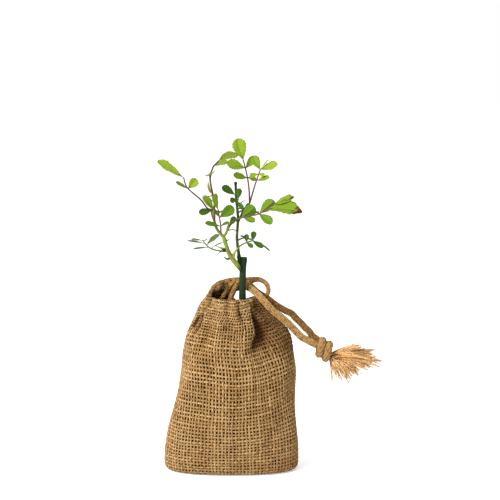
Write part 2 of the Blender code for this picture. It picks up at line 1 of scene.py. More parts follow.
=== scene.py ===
"""Rose-leaved tree sapling with its root ball in a small jute drawstring sack.

Every surface is worked out with numpy, as a grid of two parameters or as a profile carried along a
path.  Sizes are in millimetres until a mesh is made; +Z is up and the front faces -Y.
"""
import bpy
import numpy as np
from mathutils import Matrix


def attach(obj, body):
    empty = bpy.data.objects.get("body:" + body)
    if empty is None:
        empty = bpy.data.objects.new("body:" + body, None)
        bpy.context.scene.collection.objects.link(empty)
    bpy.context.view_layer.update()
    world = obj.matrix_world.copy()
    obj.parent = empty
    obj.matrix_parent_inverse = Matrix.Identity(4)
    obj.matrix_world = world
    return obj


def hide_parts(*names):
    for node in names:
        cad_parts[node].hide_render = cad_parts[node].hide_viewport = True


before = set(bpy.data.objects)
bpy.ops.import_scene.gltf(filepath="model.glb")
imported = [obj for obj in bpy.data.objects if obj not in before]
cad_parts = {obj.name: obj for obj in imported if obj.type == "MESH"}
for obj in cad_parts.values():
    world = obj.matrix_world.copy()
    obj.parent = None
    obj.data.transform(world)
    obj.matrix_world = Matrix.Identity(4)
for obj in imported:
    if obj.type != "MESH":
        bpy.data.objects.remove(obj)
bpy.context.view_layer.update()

MM = 0.001
X, Y, Z = np.eye(3)
TURN = 2 * np.pi

# ---- sack: the same wall as the solid's, then how its threads lie -------------------------
# height, half width, half depth, and how far the middle lies to the right
SACK_PROFILE = (
    (0, 46.5, 22.5, 0), (1.4, 48.9, 24.8, 0), (5, 49.9, 26.2, 0), (16, 49.7, 27.4, 0), (30, 48, 28, 0.5),
    (45, 45.3, 27.8, 2), (60, 43.5, 27, 3.6), (74, 42.6, 26.6, 4.8), (87, 41.2, 26, 5), (97, 39.3, 24.8, 5.6),
    (105, 36.6, 22.8, 5.6), (113, 31.4, 20.4, 3.6), (121, 25.8, 17.6, 1.4), (129, 19.2, 14.2, 1))
# the turned-in edge of the underside, in the same measures
UNDERSIDE = ((0.95, 37, 13.5, 0), (0.95, 42, 18.4, 0), (0.95, 46.4, 22.6, 0), (1.9, 49, 24.9, 0))
CLOTH = 1.5                     # thickness
SQUARENESS = 2.5                # power of the wall's rounded oblongs, 2 above the second height
ROUNDS_OFF = (70, 120)
NECK_TOP = 129
TILTS_FROM = 92                 # height above which the wall follows the rim up and down
RIM_DROP = 2.6                  # of the rim under the neck's last turn
RIM_BACK_DROP = 4.2             # more behind the stem
RIM_BACK_AT = 78                # bearing of that drop, and its half width
RIM_BACK_HALF = 34
RIM_RISE = 11.6                 # of the collar left standing at the back left
RIM_RISE_AT = 125
RIM_RISE_HALVES = (30, 43)      # its half widths towards the back and towards the left
RIM_LEAN = 0.38                 # of its rise that the collar leans in, from this height up
LEANS_FROM = 106
LIP = 1.1                       # radius of the rolled lip
LIP_RAISE = 0.8                 # of that radius that the lip stands higher
INSIDE_LENGTH = 13              # of the hem turned down inside
RAMP = 8                        # height over which folds fade in and out
# gathers that grow towards the neck: how many round the sack, phase, depth
PLEATS = ((9, 0.7, 0.95), (14, 2.2, 0.75))
PLEATS_FROM = 84
# folds: bearing, half width in degrees, how far they stand out, lowest height, highest height
FOLDS = (
    (290, 6, 1.8, 100, 128), (318, 9, 1.2, 96, 128), (250, 8, 2.4, 88, 124), (226, 10, -2.3, 92, 118),
    (282, 4.5, -2.9, 110, 127), (62, 10, -2.2, 90, 126), (118, 11, -2.8, 92, 126), (184, 12, 1.5, 98, 110))
# overlapping folds: bearing of the crease at the foot and at the top, degrees over which the cloth
# drops in and comes back (below 0 the other way round), depth, lowest height, highest height
TUCKS = ((284, 312, 2.4, 30, 8.2, 92, 127), (204, 210, 1.8, -13, 5.4, 105, 117))
SOFTENS = 3                     # widening of a tuck's steep side at its foot
LUMPS_BETWEEN = ((6, 24), (84, 104))  # heights over which the ball's lumps come and go
BEARINGS = 720                  # points round the cloth
CORE_BEARINGS = 144             # points round what lies under it
WARPS = 98
WEFTS = 66
# distance between wefts by height, and how far they climb round the sack by bearing
WEFT_PITCH = ((0, 2.2), (20, 2.2), (34, 2.48), (49, 2.65), (63, 2.75), (78, 3.05), (93, 2.85), (104, 2.7),
              (115, 2.55), (129, 2.45))
WEFT_CLIMB = ((0, 9.8), (25, 9.2), (60, 7), (120, 4.2), (180, 3), (236, 2.1), (252, 1.2), (264, 0.4),
              (272, 0.1), (291, 2.3), (314, 5.9), (335, 8.6), (360, 9.8))
CLIMB_HEIGHTS = (0, 45, 100)    # it grows from the first to the second, and fades above the third
WARP_LEAN = 0.115               # of the warps against the bearing, over the heights
LEAN_HEIGHTS = (20, 100)
# where folds take threads in: bearing at the foot and the top of the neck, half width, how much
SWALLOWS = ((287, 314, 8, 1), (204, 206, 7, 0.5), (252, 252, 5, 0.2), (268, 270, 5, 0.2), (229, 229, 5, 0.2),
            (70, 70, 30, 0.5), (120, 120, 20, 0.5), (335, 335, 12, 0.3))
SWALLOW_HEIGHTS = (88, 127)
GATHERS_FROM = 72               # height above which folds take in the spare threads
SPARE = 1.08                    # length of a weft over the girth at that height
HOLLOW_SHIFTS = (-36, -16, 16, 36)  # points of the cloth to the sides that a hollow is judged by, for the shade painted into it
HOLLOW_DEPTHS = (0.35, 3.2)
INSIDE_ROWS = 10                # rows of the cloth down inside the mouth, and how much painted shade they carry
INSIDE_PAINTED_SHADE = 0.85
STEPS = 4                       # points from one crossing of threads to the next
THREAD_SHARE = 0.30             # half a thread's width over the distance between threads
THREAD_LIMITS = (0.30, 0.92)    # half widths
THREAD_THICK = (0.18, 0.32)     # half thickness: a fixed part, and a share of the half width
WIDTH_DRIFT = 0.20              # of a thread's width
WEAVE_RISE = 0.30               # of a thread over the one that it crosses
THREAD_DRIFT = 0.15             # how far threads wander sideways where they lie MEAN_GAP apart
MEAN_GAP = 2.4
WARP_KNOTS = (10, 14)           # points between random numbers, for width and for wandering
WEFT_KNOTS = (8, 16)
FUZZ = 420                      # loose fibres on the sack
FRONT_ROW = 60                  # of the woven grid, by which the warps are told into front and back


def unit(v):
    return v / np.linalg.norm(v, axis=-1, keepdims=True)


def ease(value, low, high):
    """0 below low, 1 above high, smooth between."""
    t = np.clip((value - low) / (high - low), 0, 1)
    return t * t * (3 - 2 * t)


def bell(away, half):
    """1 in the middle, falling smoothly to nothing a few half widths away."""
    return np.exp(-((away / half) ** 2))


def shown_between(value, low, high, low_ramp, high_ramp):
    """1 between low and high, with a ramp to both sides of each."""
    return ease(value, low - low_ramp, low + low_ramp) * (1 - ease(value, high - high_ramp, high + high_ramp))


def bearing_off(degrees, middle):
    """How far bearings lie from a middle one, from -180 to 180."""
    return (degrees - middle + 180) % 360 - 180


def circle(count):
    """Evenly spaced angles of a full turn."""
    return np.arange(count) * TURN / count


def smooth_through(points, count):
    """Evenly numbered samples of a Catmull-Rom curve through rows of any width."""
    p = np.array(points, float)
    ends = np.vstack([2 * p[0] - p[1], p, 2 * p[-1] - p[-2]])
    t = np.linspace(0, len(p) - 1, count)
    i = np.minimum(t.astype(int), len(p) - 2)
    u = (t - i)[:, None]
    a, b, c, d = ends[i], ends[i + 1], ends[i + 2], ends[i + 3]
    return (2 * b + (c - a) * u + (2 * a - 5 * b + 4 * c - d) * u**2 + (3 * b - a - 3 * c + d) * u**3) / 2


def paced(points, step):
    """Samples of the smooth curve through points, a step apart along it."""
    fine = smooth_through(points, 60 * len(points))
    run = np.r_[0, np.cumsum(np.linalg.norm(np.diff(fine[:, :3], axis=0), axis=1))]
    at = np.linspace(0, run[-1], max(4, int(np.ceil(run[-1] / step)) + 1))
    return np.column_stack([np.interp(at, run, column) for column in fine.T])


def drift(rng, threads, samples, knot, closed=False):
    """Smooth random values along each thread: random numbers a knot apart, joined by cosines."""
    values = rng.normal(size=(threads, samples // knot + 2))
    if closed:
        values[:, samples // knot] = values[:, 0]
    at = np.arange(samples) / knot
    low = at.astype(int)
    part = (1 - np.cos(np.pi * (at - low))) / 2
    return values[:, low] * (1 - part) + values[:, low + 1] * part


# ---- finishes -----------------------------------------------------------------------------
class Tone:
    """A number that varies over a surface; arithmetic on it adds Math nodes."""

    def __init__(self, finish, socket):
        self.finish, self.socket = finish, socket

    def reckon(self, operation, *values):
        return self.finish.tone("Math", {"operation": operation}, dict(enumerate(values)))

    def __add__(self, other):
        return self.reckon("ADD", self, other)

    def __sub__(self, other):
        return self.reckon("SUBTRACT", self, other)

    def __rsub__(self, other):
        return self.reckon("SUBTRACT", other, self)

    def __mul__(self, other):
        return self.reckon("MULTIPLY", self, other)

    def __abs__(self):
        return self.reckon("ABSOLUTE", self)

    __radd__ = __add__
    __rmul__ = __mul__

    def wave(self):
        return self.reckon("SINE", self)

    def over(self, low, high):
        """0 below low, 1 above high, smooth between; the other way round when low is above high."""
        if low > high:
            return 1 - self.over(high, low)
        return self.finish.tone("MapRange", {"interpolation_type": "SMOOTHSTEP"},
                                {"Value": self, "From Min": low, "From Max": high})

    def near(self, middle, faded, full):
        """1 within full of a middle, 0 when faded or more away from it."""
        return abs(self - middle).over(faded, full)


class Finish:
    """A material on one Principled shader, whose constants are set on the shader's own sockets."""

    def __init__(self, name, **constants):
        self.material = bpy.data.materials.new(name)
        self.material.use_nodes = True
        self.tree = self.material.node_tree
        self.shader = self.tree.nodes["Principled BSDF"]
        for socket, value in constants.items():
            self.shader.inputs[socket.replace("_", " ")].default_value = value
        self.place = self.node("TexCoord").outputs["Object"]

    def node(self, kind, settings=None, sockets=None):
        """One node: its settings first, then its sockets' values or links."""
        made = self.tree.nodes.new("ShaderNode" + kind)
        for key, value in (settings or {}).items():
            setattr(made, key, value)
        for key, value in (sockets or {}).items():
            self.feed(made.inputs[key], value)
        return made

    def feed(self, socket, value):
        value = getattr(value, "socket", value)
        if isinstance(value, bpy.types.NodeSocket):
            self.tree.links.new(value, socket)
        elif isinstance(value, tuple) and socket.type == "RGBA":
            socket.default_value = (*value, 1)
        else:
            socket.default_value = value

    def tone(self, kind, settings, sockets):
        """The first number that a new node gives."""
        return Tone(self, self.node(kind, settings, sockets).outputs[0])

    def noise(self, scale, detail=2.0, stretch=(1, 1, 1), rough=0.5):
        """Mottling with so many waves a metre, stretched along an axis by a small factor there."""
        spot = self.node("VectorMath", {"operation": "MULTIPLY"}, {0: self.place, 1: stretch}).outputs[0]
        return self.tone("TexNoise", None, {"Vector": spot, "Scale": scale, "Detail": detail,
                                            "Roughness": rough})

    def parts(self, vector):
        """A vector's three numbers."""
        return [Tone(self, socket) for socket in self.node("SeparateXYZ", None, {0: vector}).outputs]

    def along(self):
        """The three numbers that a mesh carries for patterns that follow its surface."""
        return self.parts(self.node("Attribute", {"attribute_name": "run"}).outputs["Vector"])

    def blend(self, mask, low, high, way="MIX"):
        """A colour that goes from low to high with a mask."""
        sockets = {0: mask, 6: low, 7: high}
        return self.node("Mix", {"data_type": "RGBA", "blend_type": way}, sockets).outputs[2]

    def wear(self, colour, roughness=None, height=None, depth=0.0002):
        """Joins colour, roughness and relief to the shader and gives the material."""
        self.feed(self.shader.inputs["Base Color"], colour)
        if roughness is not None:
            self.feed(self.shader.inputs["Roughness"], roughness)
        if height is not None:
            bump = self.node("Bump", None, {"Height": height, "Distance": depth})
            self.feed(self.shader.inputs["Normal"], bump.outputs[0])
        return self.material


def sack_stains_and_shade(finish, colour, brown, streak):
    """Marks on the front of the sack, placed in metres: a rusty foot and a rust spot, then painted shade: darker
    cloth right of the main crease, darkest in its hollow, and in the narrow crease at the left."""
    across, deep, high = finish.parts(finish.place)
    front = deep.over(0.012, 0.002)
    foot = high.over(0.040, 0.004) * finish.noise(70.0).over(0.40, 0.62) * (across + 0.06).over(0.0, 0.09)
    colour = finish.blend(foot * 0.5, colour, (0.16, 0.068, 0.022))
    spot = across.near(0.0175, 0.0030, 0.0004) * high.near(0.0640, 0.0085, 0.001) * streak.over(0.40, 0.60)
    colour = finish.blend(spot * front * 0.85, colour, (0.16, 0.055, 0.018))
    # painted shade on the cloth right of the main crease, darker still in its hollow
    right_of_crease = (across + high * 0.17).over(0.0352, 0.0382)
    shade_beyond_crease = right_of_crease * (high + across * 0.41).over(0.0972, 0.1112)
    hollow = across.near(0.0225, 0.008, 0.002) * high.near(0.103, 0.013, 0.005)
    colour = finish.blend((shade_beyond_crease * 0.60 + shade_beyond_crease * hollow * 0.25) * front, colour, brown)
    # painted shade in the narrow crease at the left
    slit_shade = (across - high * 0.53).near(-0.0844, 0.0020, 0.0006) * high.near(0.1115, 0.0060, 0.0030)
    return finish.blend(slit_shade * deep.over(0.0, -0.002) * 0.9, colour, (0.030, 0.012, 0.004))


def jute_thread(name, pale, tan, brown, crease=0.4, stained_and_shaded=False):
    """Loose jute yarn: twisted fibres with pale and tan streaks, painted shade on each thread's sides, and
    painted shade where the mesh's third number is under 0."""
    finish = Finish(name, Roughness=0.95, Specular_IOR_Level=0.05)
    turn, run, share = finish.along()
    streak = finish.noise(900.0, 3.0, rough=0.7)
    patch = finish.noise(38.0, 3.0)
    fibre = (turn * (3 * TURN) + run * 2.6 + streak * 4.0).wave() * 0.5 + 0.5
    # painted shade: each thread darker on its sides than on its top; crease is the share of its own colour kept
    # on the sides
    crown_light = (turn * TURN).wave().over(-0.25, 0.75)
    colour = finish.blend((patch * 0.5 + streak * 0.35 + share * 0.45 - 0.12).over(0.2, 0.85), tan, pale)
    colour = finish.blend(fibre.over(0.0, 0.5) * 0.25 + 0.75, brown, colour)
    colour = finish.blend(crown_light * (1 - crease) + crease, brown, colour)
    colour = finish.blend(finish.noise(480.0, 2.0).over(0.50, 0.66) * 0.5, colour, brown)
    if stained_and_shaded:
        colour = sack_stains_and_shade(finish, colour, brown, streak)
    # painted shade: near-black where the third number is under 0, on threads lying low between folds, inside the
    # mouth and between the hem's puckers, and on tassel locks near the knot
    colour = finish.blend(share.over(0.0, -1.0) * 0.92, colour, (0.042, 0.016, 0.005))
    return finish.wear(colour, height=fibre * 0.6 + streak * 0.4, depth=0.00025)


def plain_jute(name, dark, light):
    """Cloth under the threads, seen through their holes: dark jute with the mottle and the small squares of its
    weave.
    """
    finish = Finish(name, Roughness=0.95, Specular_IOR_Level=0.1)
    across, _, high = finish.parts(finish.place)
    squares = (across * 2600.0).wave() * (high * 2600.0).wave()
    mottle = finish.noise(120.0, 4.0)
    return finish.wear(finish.blend(mottle.over(0.3, 0.7), dark, light), height=squares, depth=0.0003)


def soil_finish():
    """Moist crumbs, nearly black to brown, with pale flecks."""
    finish = Finish("potting_soil", Roughness=0.96, Specular_IOR_Level=0.2)
    crumbs = finish.noise(420.0, 5.0, rough=0.65)
    fleck = finish.noise(900.0, 1.0).over(0.66, 0.72)
    colour = finish.blend(crumbs.over(0.3, 0.7), (0.010, 0.006, 0.004), (0.050, 0.028, 0.016))
    return finish.wear(finish.blend(fleck, colour, (0.16, 0.10, 0.05)), height=crumbs, depth=0.0012)


def bark(name, stations, shine):
    """Young bark: colours at shares of the limb's length, streaks along it, mottling and fine pores."""
    finish = Finish(name, Roughness=shine, Specular_IOR_Level=0.12)
    streak = finish.noise(900.0, 4.0, (1, 1, 0.08), 0.6)
    patch = finish.noise(210.0, 3.0, (1, 1, 0.5))
    place = finish.along()[2] + patch * 0.10 - 0.05
    colour = stations[0][1]
    for (low, _), (high, shade) in zip(stations, stations[1:]):
        colour = finish.blend(place.over(low, high), colour, shade)
    for mask, shade in ((streak.over(0.30, 0.70) * 0.55 + patch.over(0.3, 0.7) * 0.25, (0.9, 0.9, 0.85)),
                        (streak.over(0.62, 0.36) * 0.5, (0.42, 0.40, 0.38))):
        colour = finish.blend(mask, colour, shade, "MULTIPLY")
    pores = finish.noise(2400.0, 2.0, (1, 1, 0.5))
    return finish.wear(colour, shine + streak * 0.2, streak * 0.7 + pores * 0.3, 0.0003)


def leaf_finish(name, colour, vein, shade, blotch=None, burnt=None):
    """A leaf's upper side: a lighter rib and side veins, darker between them, matt and a little waxy,
    and browned at the very tip or, where burnt, over its end."""
    finish = Finish(name, Specular_IOR_Level=0.08)
    across, along, share = finish.along()
    rib = abs(across).over(0.10, 0.015)
    side = ((along * 9.0 - abs(across) * 3.0) * TURN).wave().over(0.80, 1.0) * abs(across).over(1.0, 0.3)
    mottle = finish.noise(260.0, 3.0)
    body = finish.blend((mottle * 0.6 + share * 0.6).over(0.25, 0.95), shade, colour)
    if blotch:
        body = finish.blend(finish.noise(330.0, 3.0).over(0.56, 0.66) * 0.8, body, blotch)
    body = finish.blend(rib * 0.75 + side * 0.22, body, vein)
    if burnt:
        end = (along + finish.noise(420.0) * 0.5 + across * 0.1).over(1.02, 1.16)
    else:
        end = (along + mottle * 0.2).over(1.03, 1.12) * 0.6
    body = finish.blend(end, body, burnt or (0.03, 0.018, 0.006))
    return finish.wear(body, mottle * 0.2 + 0.48, side * 0.4 - rib * 0.6 + mottle * 0.5, 0.00012)


# ---- meshes -------------------------------------------------------------------------------
def placed(name, data):
    """A new object in the scene."""
    obj = bpy.data.objects.new(name, data)
    bpy.context.scene.collection.objects.link(obj)
    return obj


def piece(name, shape, finish, nodes, crease=None):
    """A visible piece from points in millimetres, faces and the run that its pattern follows."""
    points, faces, run = shape
    mesh = bpy.data.meshes.new(name)
    mesh.from_pydata((np.asarray(points).reshape(-1, 3) * MM).tolist(), [], faces)
    mesh.shade_smooth()
    if crease:
        mesh.set_sharp_from_angle(angle=np.radians(crease))
    mesh.attributes.new("run", "FLOAT_VECTOR", "POINT").data.foreach_set("vector", np.ravel(run))
    mesh.materials.append(finish)
    obj = placed(name, mesh)
    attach(obj, "root")
    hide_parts(*nodes)


def ring_faces(lines, rows, sides, closed=False):
    """Corner numbers of tubes numbered (line, row, side): flat ends, or rings joined into loops."""
    number = np.arange(lines * rows * sides).reshape(lines, rows, sides)
    here = number if closed else number[:, :-1]
    ahead = np.roll(number, -1, 1) if closed else number[:, 1:]
    quads = np.stack([here, np.roll(here, -1, 2), np.roll(ahead, -1, 2), ahead], -1).reshape(-1, 4).tolist()
    return quads if closed else quads + number[:, 0, ::-1].tolist() + number[:, -1].tolist()


def tubes(routes, wide, thick, outward, sides, closed=False, share=None):
    """Many threads at once: point = route + wide cos a across + thick sin a outward.

    The run of each point is its turn a, its distance along the thread, and the thread's share."""
    routes = np.asarray(routes, float)
    lines, rows = routes.shape[:2]
    if closed:
        along = unit(np.roll(routes, -1, 1) - np.roll(routes, 1, 1))
    else:
        along = unit(np.gradient(routes, axis=1))
    outward = np.broadcast_to(outward, routes.shape)
    across = unit(np.cross(outward, along))
    outward = np.cross(along, across)
    a = circle(sides)
    wide = np.broadcast_to(wide, (lines, rows))[:, :, None, None]
    thick = np.broadcast_to(thick, (lines, rows))[:, :, None, None]
    points = (routes[:, :, None] + wide * np.cos(a)[:, None] * across[:, :, None]
              + thick * np.sin(a)[:, None] * outward[:, :, None])
    step = np.linalg.norm(np.diff(routes, axis=1, prepend=routes[:, :1]), axis=2)
    run = np.zeros(points.shape)
    run[..., 0] = a / TURN
    run[..., 1] = np.cumsum(step, axis=1)[:, :, None]
    run[..., 2] = (np.linspace(0, 1, lines) if share is None else share).reshape(lines, -1, 1)
    return points.reshape(-1, 3), ring_faces(lines, rows, sides, closed), run.reshape(-1, 3)


def joined(shapes):
    """Several shapes as one."""
    points, faces, runs, first = [], [], [], 0
    for shape in shapes:
        points.append(np.reshape(shape[0], (-1, 3)))
        runs.append(np.reshape(shape[2], (-1, 3)))
        faces += [[corner + first for corner in face] for face in shape[1]]
        first += len(points[-1])
    return np.vstack(points), faces, np.vstack(runs)


def skin(turns):
    """A closed surface through turns of equally many points, flat at both ends.

    The run of each point is its share of the turn, its row, and one half."""
    turns = np.asarray(turns, float)
    rows, sides = turns.shape[:2]
    run = np.zeros(turns.shape)
    run[..., 0] = np.arange(sides) / sides
    run[..., 1] = np.arange(rows)[:, None]
    run[..., 2] = 0.5
    return turns.reshape(-1, 3), ring_faces(1, rows, sides), run.reshape(-1, 3)


def rings(path, side, up, across, rise):
    """Points round each row of a path: path + across side + rise up."""
    return path[:, None] + across[..., None] * side[:, None] + rise[..., None] * up[:, None]


# ---- sack ---------------------------------------------------------------------------------
def cloth_push(bearing, height):
    """Outward push of the cloth: gathers, folds, tucks and the ball's lumps.

    A fold is depth exp(-(bearing / half)^2).  A tuck is the same with a small half width on one side
    of its crease and a large one on the other.  The lumps are slow waves of bearing and height."""
    degrees = np.degrees(bearing) % 360
    push = 0.0
    for count, phase, depth in PLEATS:
        push = push + depth * np.cos(count * bearing + phase) * ease(height, PLEATS_FROM, NECK_TOP)
    for middle, half, depth, low, high in FOLDS:
        shown = shown_between(height, low, high, RAMP, RAMP)
        push = push + depth * bell(bearing_off(degrees, middle), half) * shown
    for crease, upper, steep, slow, depth, low, high in TUCKS:
        rising = np.clip((height - low) / (high - low), 0, 1)
        away = bearing_off(degrees, crease + (upper - crease) * rising) * np.sign(slow)
        half = np.where(away < 0, steep * (1 + SOFTENS * (1 - rising)), slow)
        push = push - depth * bell(away, half) * shown_between(height, low, high, 1.5 * RAMP, RAMP / 2)
    lumps = 0.7 * np.sin(3 * bearing + 0.06 * height) * np.sin(0.055 * height + 0.6)
    lumps = lumps + 0.35 * np.sin(7 * bearing - 0.10 * height + 1.0)
    return push + lumps * ease(height, *LUMPS_BETWEEN[0]) * (1 - ease(height, *LUMPS_BETWEEN[1]))


def rim_height(bearing):
    """The rim's height under the neck's last turn, round the mouth."""
    degrees = np.degrees(bearing) % 360
    away = degrees - RIM_RISE_AT
    backward, leftward = RIM_RISE_HALVES
    rise = RIM_RISE * np.where(away < 0, np.exp(-np.abs(away / backward) ** 4),
                               np.exp(-np.abs(away / leftward) ** 1.6))
    return rise - RIM_DROP - RIM_BACK_DROP * bell(degrees - RIM_BACK_AT, RIM_BACK_HALF)


def wall_turns(rows, inset, bearing):
    """Turns of the wall at rows (height, half width, half depth, shift): rounded oblongs, pushed out."""
    height, wide, deep, shift = np.asarray(rows, float).T[:, :, None]
    power = 2 / (SQUARENESS - (SQUARENESS - 2) * ease(height, *ROUNDS_OFF))
    cos, sin = np.cos(bearing), np.sin(bearing)
    push = cloth_push(bearing, height) - inset
    push = push - RIM_LEAN * np.clip(rim_height(bearing), 0, None) * ease(height, LEANS_FROM, NECK_TOP)
    x = shift + (wide + push) * np.sign(cos) * np.abs(cos) ** power
    y = (deep + push) * np.sign(sin) * np.abs(sin) ** power
    z = height + rim_height(bearing) * ease(height, TILTS_FROM, NECK_TOP)
    return np.stack([x, y, z], axis=-1)


def profile_rows(low, high, count):
    """Rows of the sack's profile at evenly spaced heights."""
    fine = smooth_through(SACK_PROFILE, 400)
    heights = np.linspace(low, high, count)
    return np.column_stack([heights, *(np.interp(heights, fine[:, 0], fine[:, k]) for k in (1, 2, 3))])


def sack_sheet():
    """The cloth's middle from under the foot, up the wall, over the rolled lip and down inside."""
    bearing = circle(BEARINGS)
    half = CLOTH / 2
    under = wall_turns(UNDERSIDE, half, bearing)
    wall = wall_turns(profile_rows(4, NECK_TOP, 160), half, bearing)
    inside = wall_turns(profile_rows(NECK_TOP - INSIDE_LENGTH, NECK_TOP, 14)[::-1], CLOTH * 1.9, bearing)
    middle = (wall[-1] + inside[0]) / 2
    outward = unit(wall[-1] - inside[0])
    lip = [middle + Z * LIP * LIP_RAISE + LIP * (np.cos(a) * outward + np.sin(a) * Z)
           for a in np.radians(np.linspace(-5, 185, 12))]
    return np.concatenate([under, wall, lip, inside]), bearing


def swallowed(bearing, height):
    """Where folds take in the threads that the narrowing neck has no room for."""
    degrees = np.degrees(bearing)[None]
    low_height, high_height = SWALLOW_HEIGHTS
    up = np.clip((height[:, None] - low_height) / (high_height - low_height), 0, 1)
    taken = np.zeros((len(height), len(bearing)))
    for low, high, half, much in SWALLOWS:
        taken = taken + much * bell(bearing_off(degrees, low + (high - low) * up), half)
    return taken


def between(values, at):
    """Values of a grid's rows at whole and part row numbers, a number for each row and column."""
    low = np.clip(at.astype(int), 0, len(values) - 2)
    part = np.clip(at - low, 0, 1)
    column = np.arange(values.shape[1])[None]
    part = part if values.ndim == 2 else part[..., None]
    return values[low, column] * (1 - part) + values[low + 1, column] * part


def laid(sheet, rows, columns, taken=0.0, full=0.0, pitch=1.0, climb=0.0, lean=0.0):
    """The same surface, with whatever else it carries, on rows and columns that threads follow.

    The rows divide the running sum of mean length along the sheet over pitch evenly, and then climb.
    On each row the columns divide the running sum of step length (1 + k taken) evenly, from lean on,
    with k such that the whole sum is at least full, so that spacing stays the same where nothing is
    taken in."""
    taken, climb = (np.broadcast_to(part, sheet.shape[:2]) for part in (taken, climb))
    step = np.linalg.norm(np.diff(sheet[..., :3], axis=0), axis=2).mean(axis=1)
    number = np.arange(len(sheet))
    run = np.r_[0, np.cumsum(step)]
    counted = np.r_[0, np.cumsum(step / np.broadcast_to(pitch, len(sheet))[1:])]
    at = np.interp(np.linspace(0, counted[-1], rows), counted, number)
    at = np.broadcast_to(at[:, None], (rows, sheet.shape[1]))
    lean = np.interp(at[:, 0], number, np.broadcast_to(lean, len(sheet)))
    at = np.interp(np.interp(at, number, run) + between(climb, at), run, number)
    taken, sheet = between(taken, at), between(sheet, at)
    closed = np.concatenate([sheet, sheet[:, :1]], axis=1)
    step = np.linalg.norm(np.diff(closed[..., :3], axis=1), axis=2)
    lacking = np.clip(full - step.sum(axis=1), 0, None) / ((step * taken).sum(axis=1) + 1e-9)
    total = np.cumsum(step * (1 + lacking[:, None] * taken), axis=1)
    total = np.concatenate([np.zeros((rows, 1)), total], axis=1)
    share = np.arange(columns) / columns
    return np.array([[np.interp((share * t[-1] + first) % t[-1], t, column) for column in turn.T]
                     for t, first, turn in zip(total, lean, closed)]).transpose(0, 2, 1)


def directions(grid):
    """Directions round, along and out of a grid's surface; out is round times along."""
    beside = np.roll(grid, -1, 1) - np.roll(grid, 1, 1)
    ahead = np.gradient(grid, axis=0)
    return unit(beside), unit(ahead), unit(np.cross(beside, ahead))


def apart(step, along):
    """Distance between neighbouring threads: the part of the step across them."""
    return np.linalg.norm(step - (step * along).sum(axis=-1, keepdims=True) * along, axis=-1)


def weave(cloth, rng, share=THREAD_SHARE, rise=WEAVE_RISE, wander=THREAD_DRIFT):
    """Plain weave on a grid that carries a fourth number, how deep it lies in a hollow, 0 to 1, which sets its
    painted shade.

    Each warp goes rise cos(pi (row + warp)) out of the cloth, each weft the other way, and both wander
    sideways and vary in width.  Gives for the warps and for the wefts their routes, half widths, half
    thicknesses, ways out, and shares, which are under 0, for painted shade, where a thread lies in a hollow."""
    grid, hollow = cloth[..., :3], cloth[..., 3]
    beside, ahead, outward = directions(grid)
    sets = []
    for is_warp, knots, way in ((True, WARP_KNOTS, 1), (False, WEFT_KNOTS, -1)):
        layers = (grid, outward, beside, ahead, hollow)
        middle, out, side, along, shade_depth = ((layer.swapaxes(0, 1) if is_warp else layer)[::STEPS]
                                         for layer in layers)
        if is_warp:
            step = (np.roll(middle, -1, 0) - np.roll(middle, 1, 0)) / 2
        else:
            side, along, step = along, side, np.gradient(middle, axis=0)
        gap = apart(step, along)
        size = middle.shape[:2]
        width = 1 + WIDTH_DRIFT * drift(rng, *size, knots[0], not is_warp)
        half = np.clip(share * gap * width, *THREAD_LIMITS)
        lift = way * rise * np.cos(np.pi * (np.arange(size[1]) / STEPS + np.arange(size[0])[:, None]))
        aside = wander * gap / MEAN_GAP * drift(rng, *size, knots[1], not is_warp)
        route = middle + out * lift[..., None] + side * aside[..., None]
        sets.append((route, half, THREAD_THICK[0] + THREAD_THICK[1] * half, out, shade_depth))
    return [(*parts, rng.uniform(size=(len(shade_depth), 1)) * (1 - shade_depth) - shade_depth) for *parts, shade_depth in sets]


def painted_crease_shade(bearing, height):
    """How deep the cloth lies under the cloth a little way to both sides, 0 to 1, for the shade painted there."""
    push = cloth_push(bearing, height[:, None])
    beside = sum(np.roll(push, shift, 1) for shift in HOLLOW_SHIFTS) / len(HOLLOW_SHIFTS)
    return ease(beside - push, *HOLLOW_DEPTHS)


def chosen(threads, mask, closed):
    """The threads that a mask keeps, as tubes."""
    route, half, thick, out, share = (part[mask] for part in threads)
    return tubes(route, half, thick, out, 5, closed, share)


def hairs(roots, outward, rng, shortest, longest, radius):
    """Thin loose fibres: each leaves its root outward, turns aside and droops with the square of its run."""
    count = len(roots)
    length = rng.uniform(shortest, longest, (count, 1, 1))
    way = unit(outward + rng.normal(0, 0.75, (count, 3)))[:, None]
    aside = rng.normal(0, 0.5, (count, 1, 3))
    t = np.linspace(0, 1, 5)[None, :, None]
    routes = roots[:, None] + length * (way * t + aside * t**2 * 0.5 - Z * 0.2 * t**2)
    return tubes(routes, radius, radius, rng.normal(size=(count, 1, 3)), 3, share=rng.uniform(size=count))


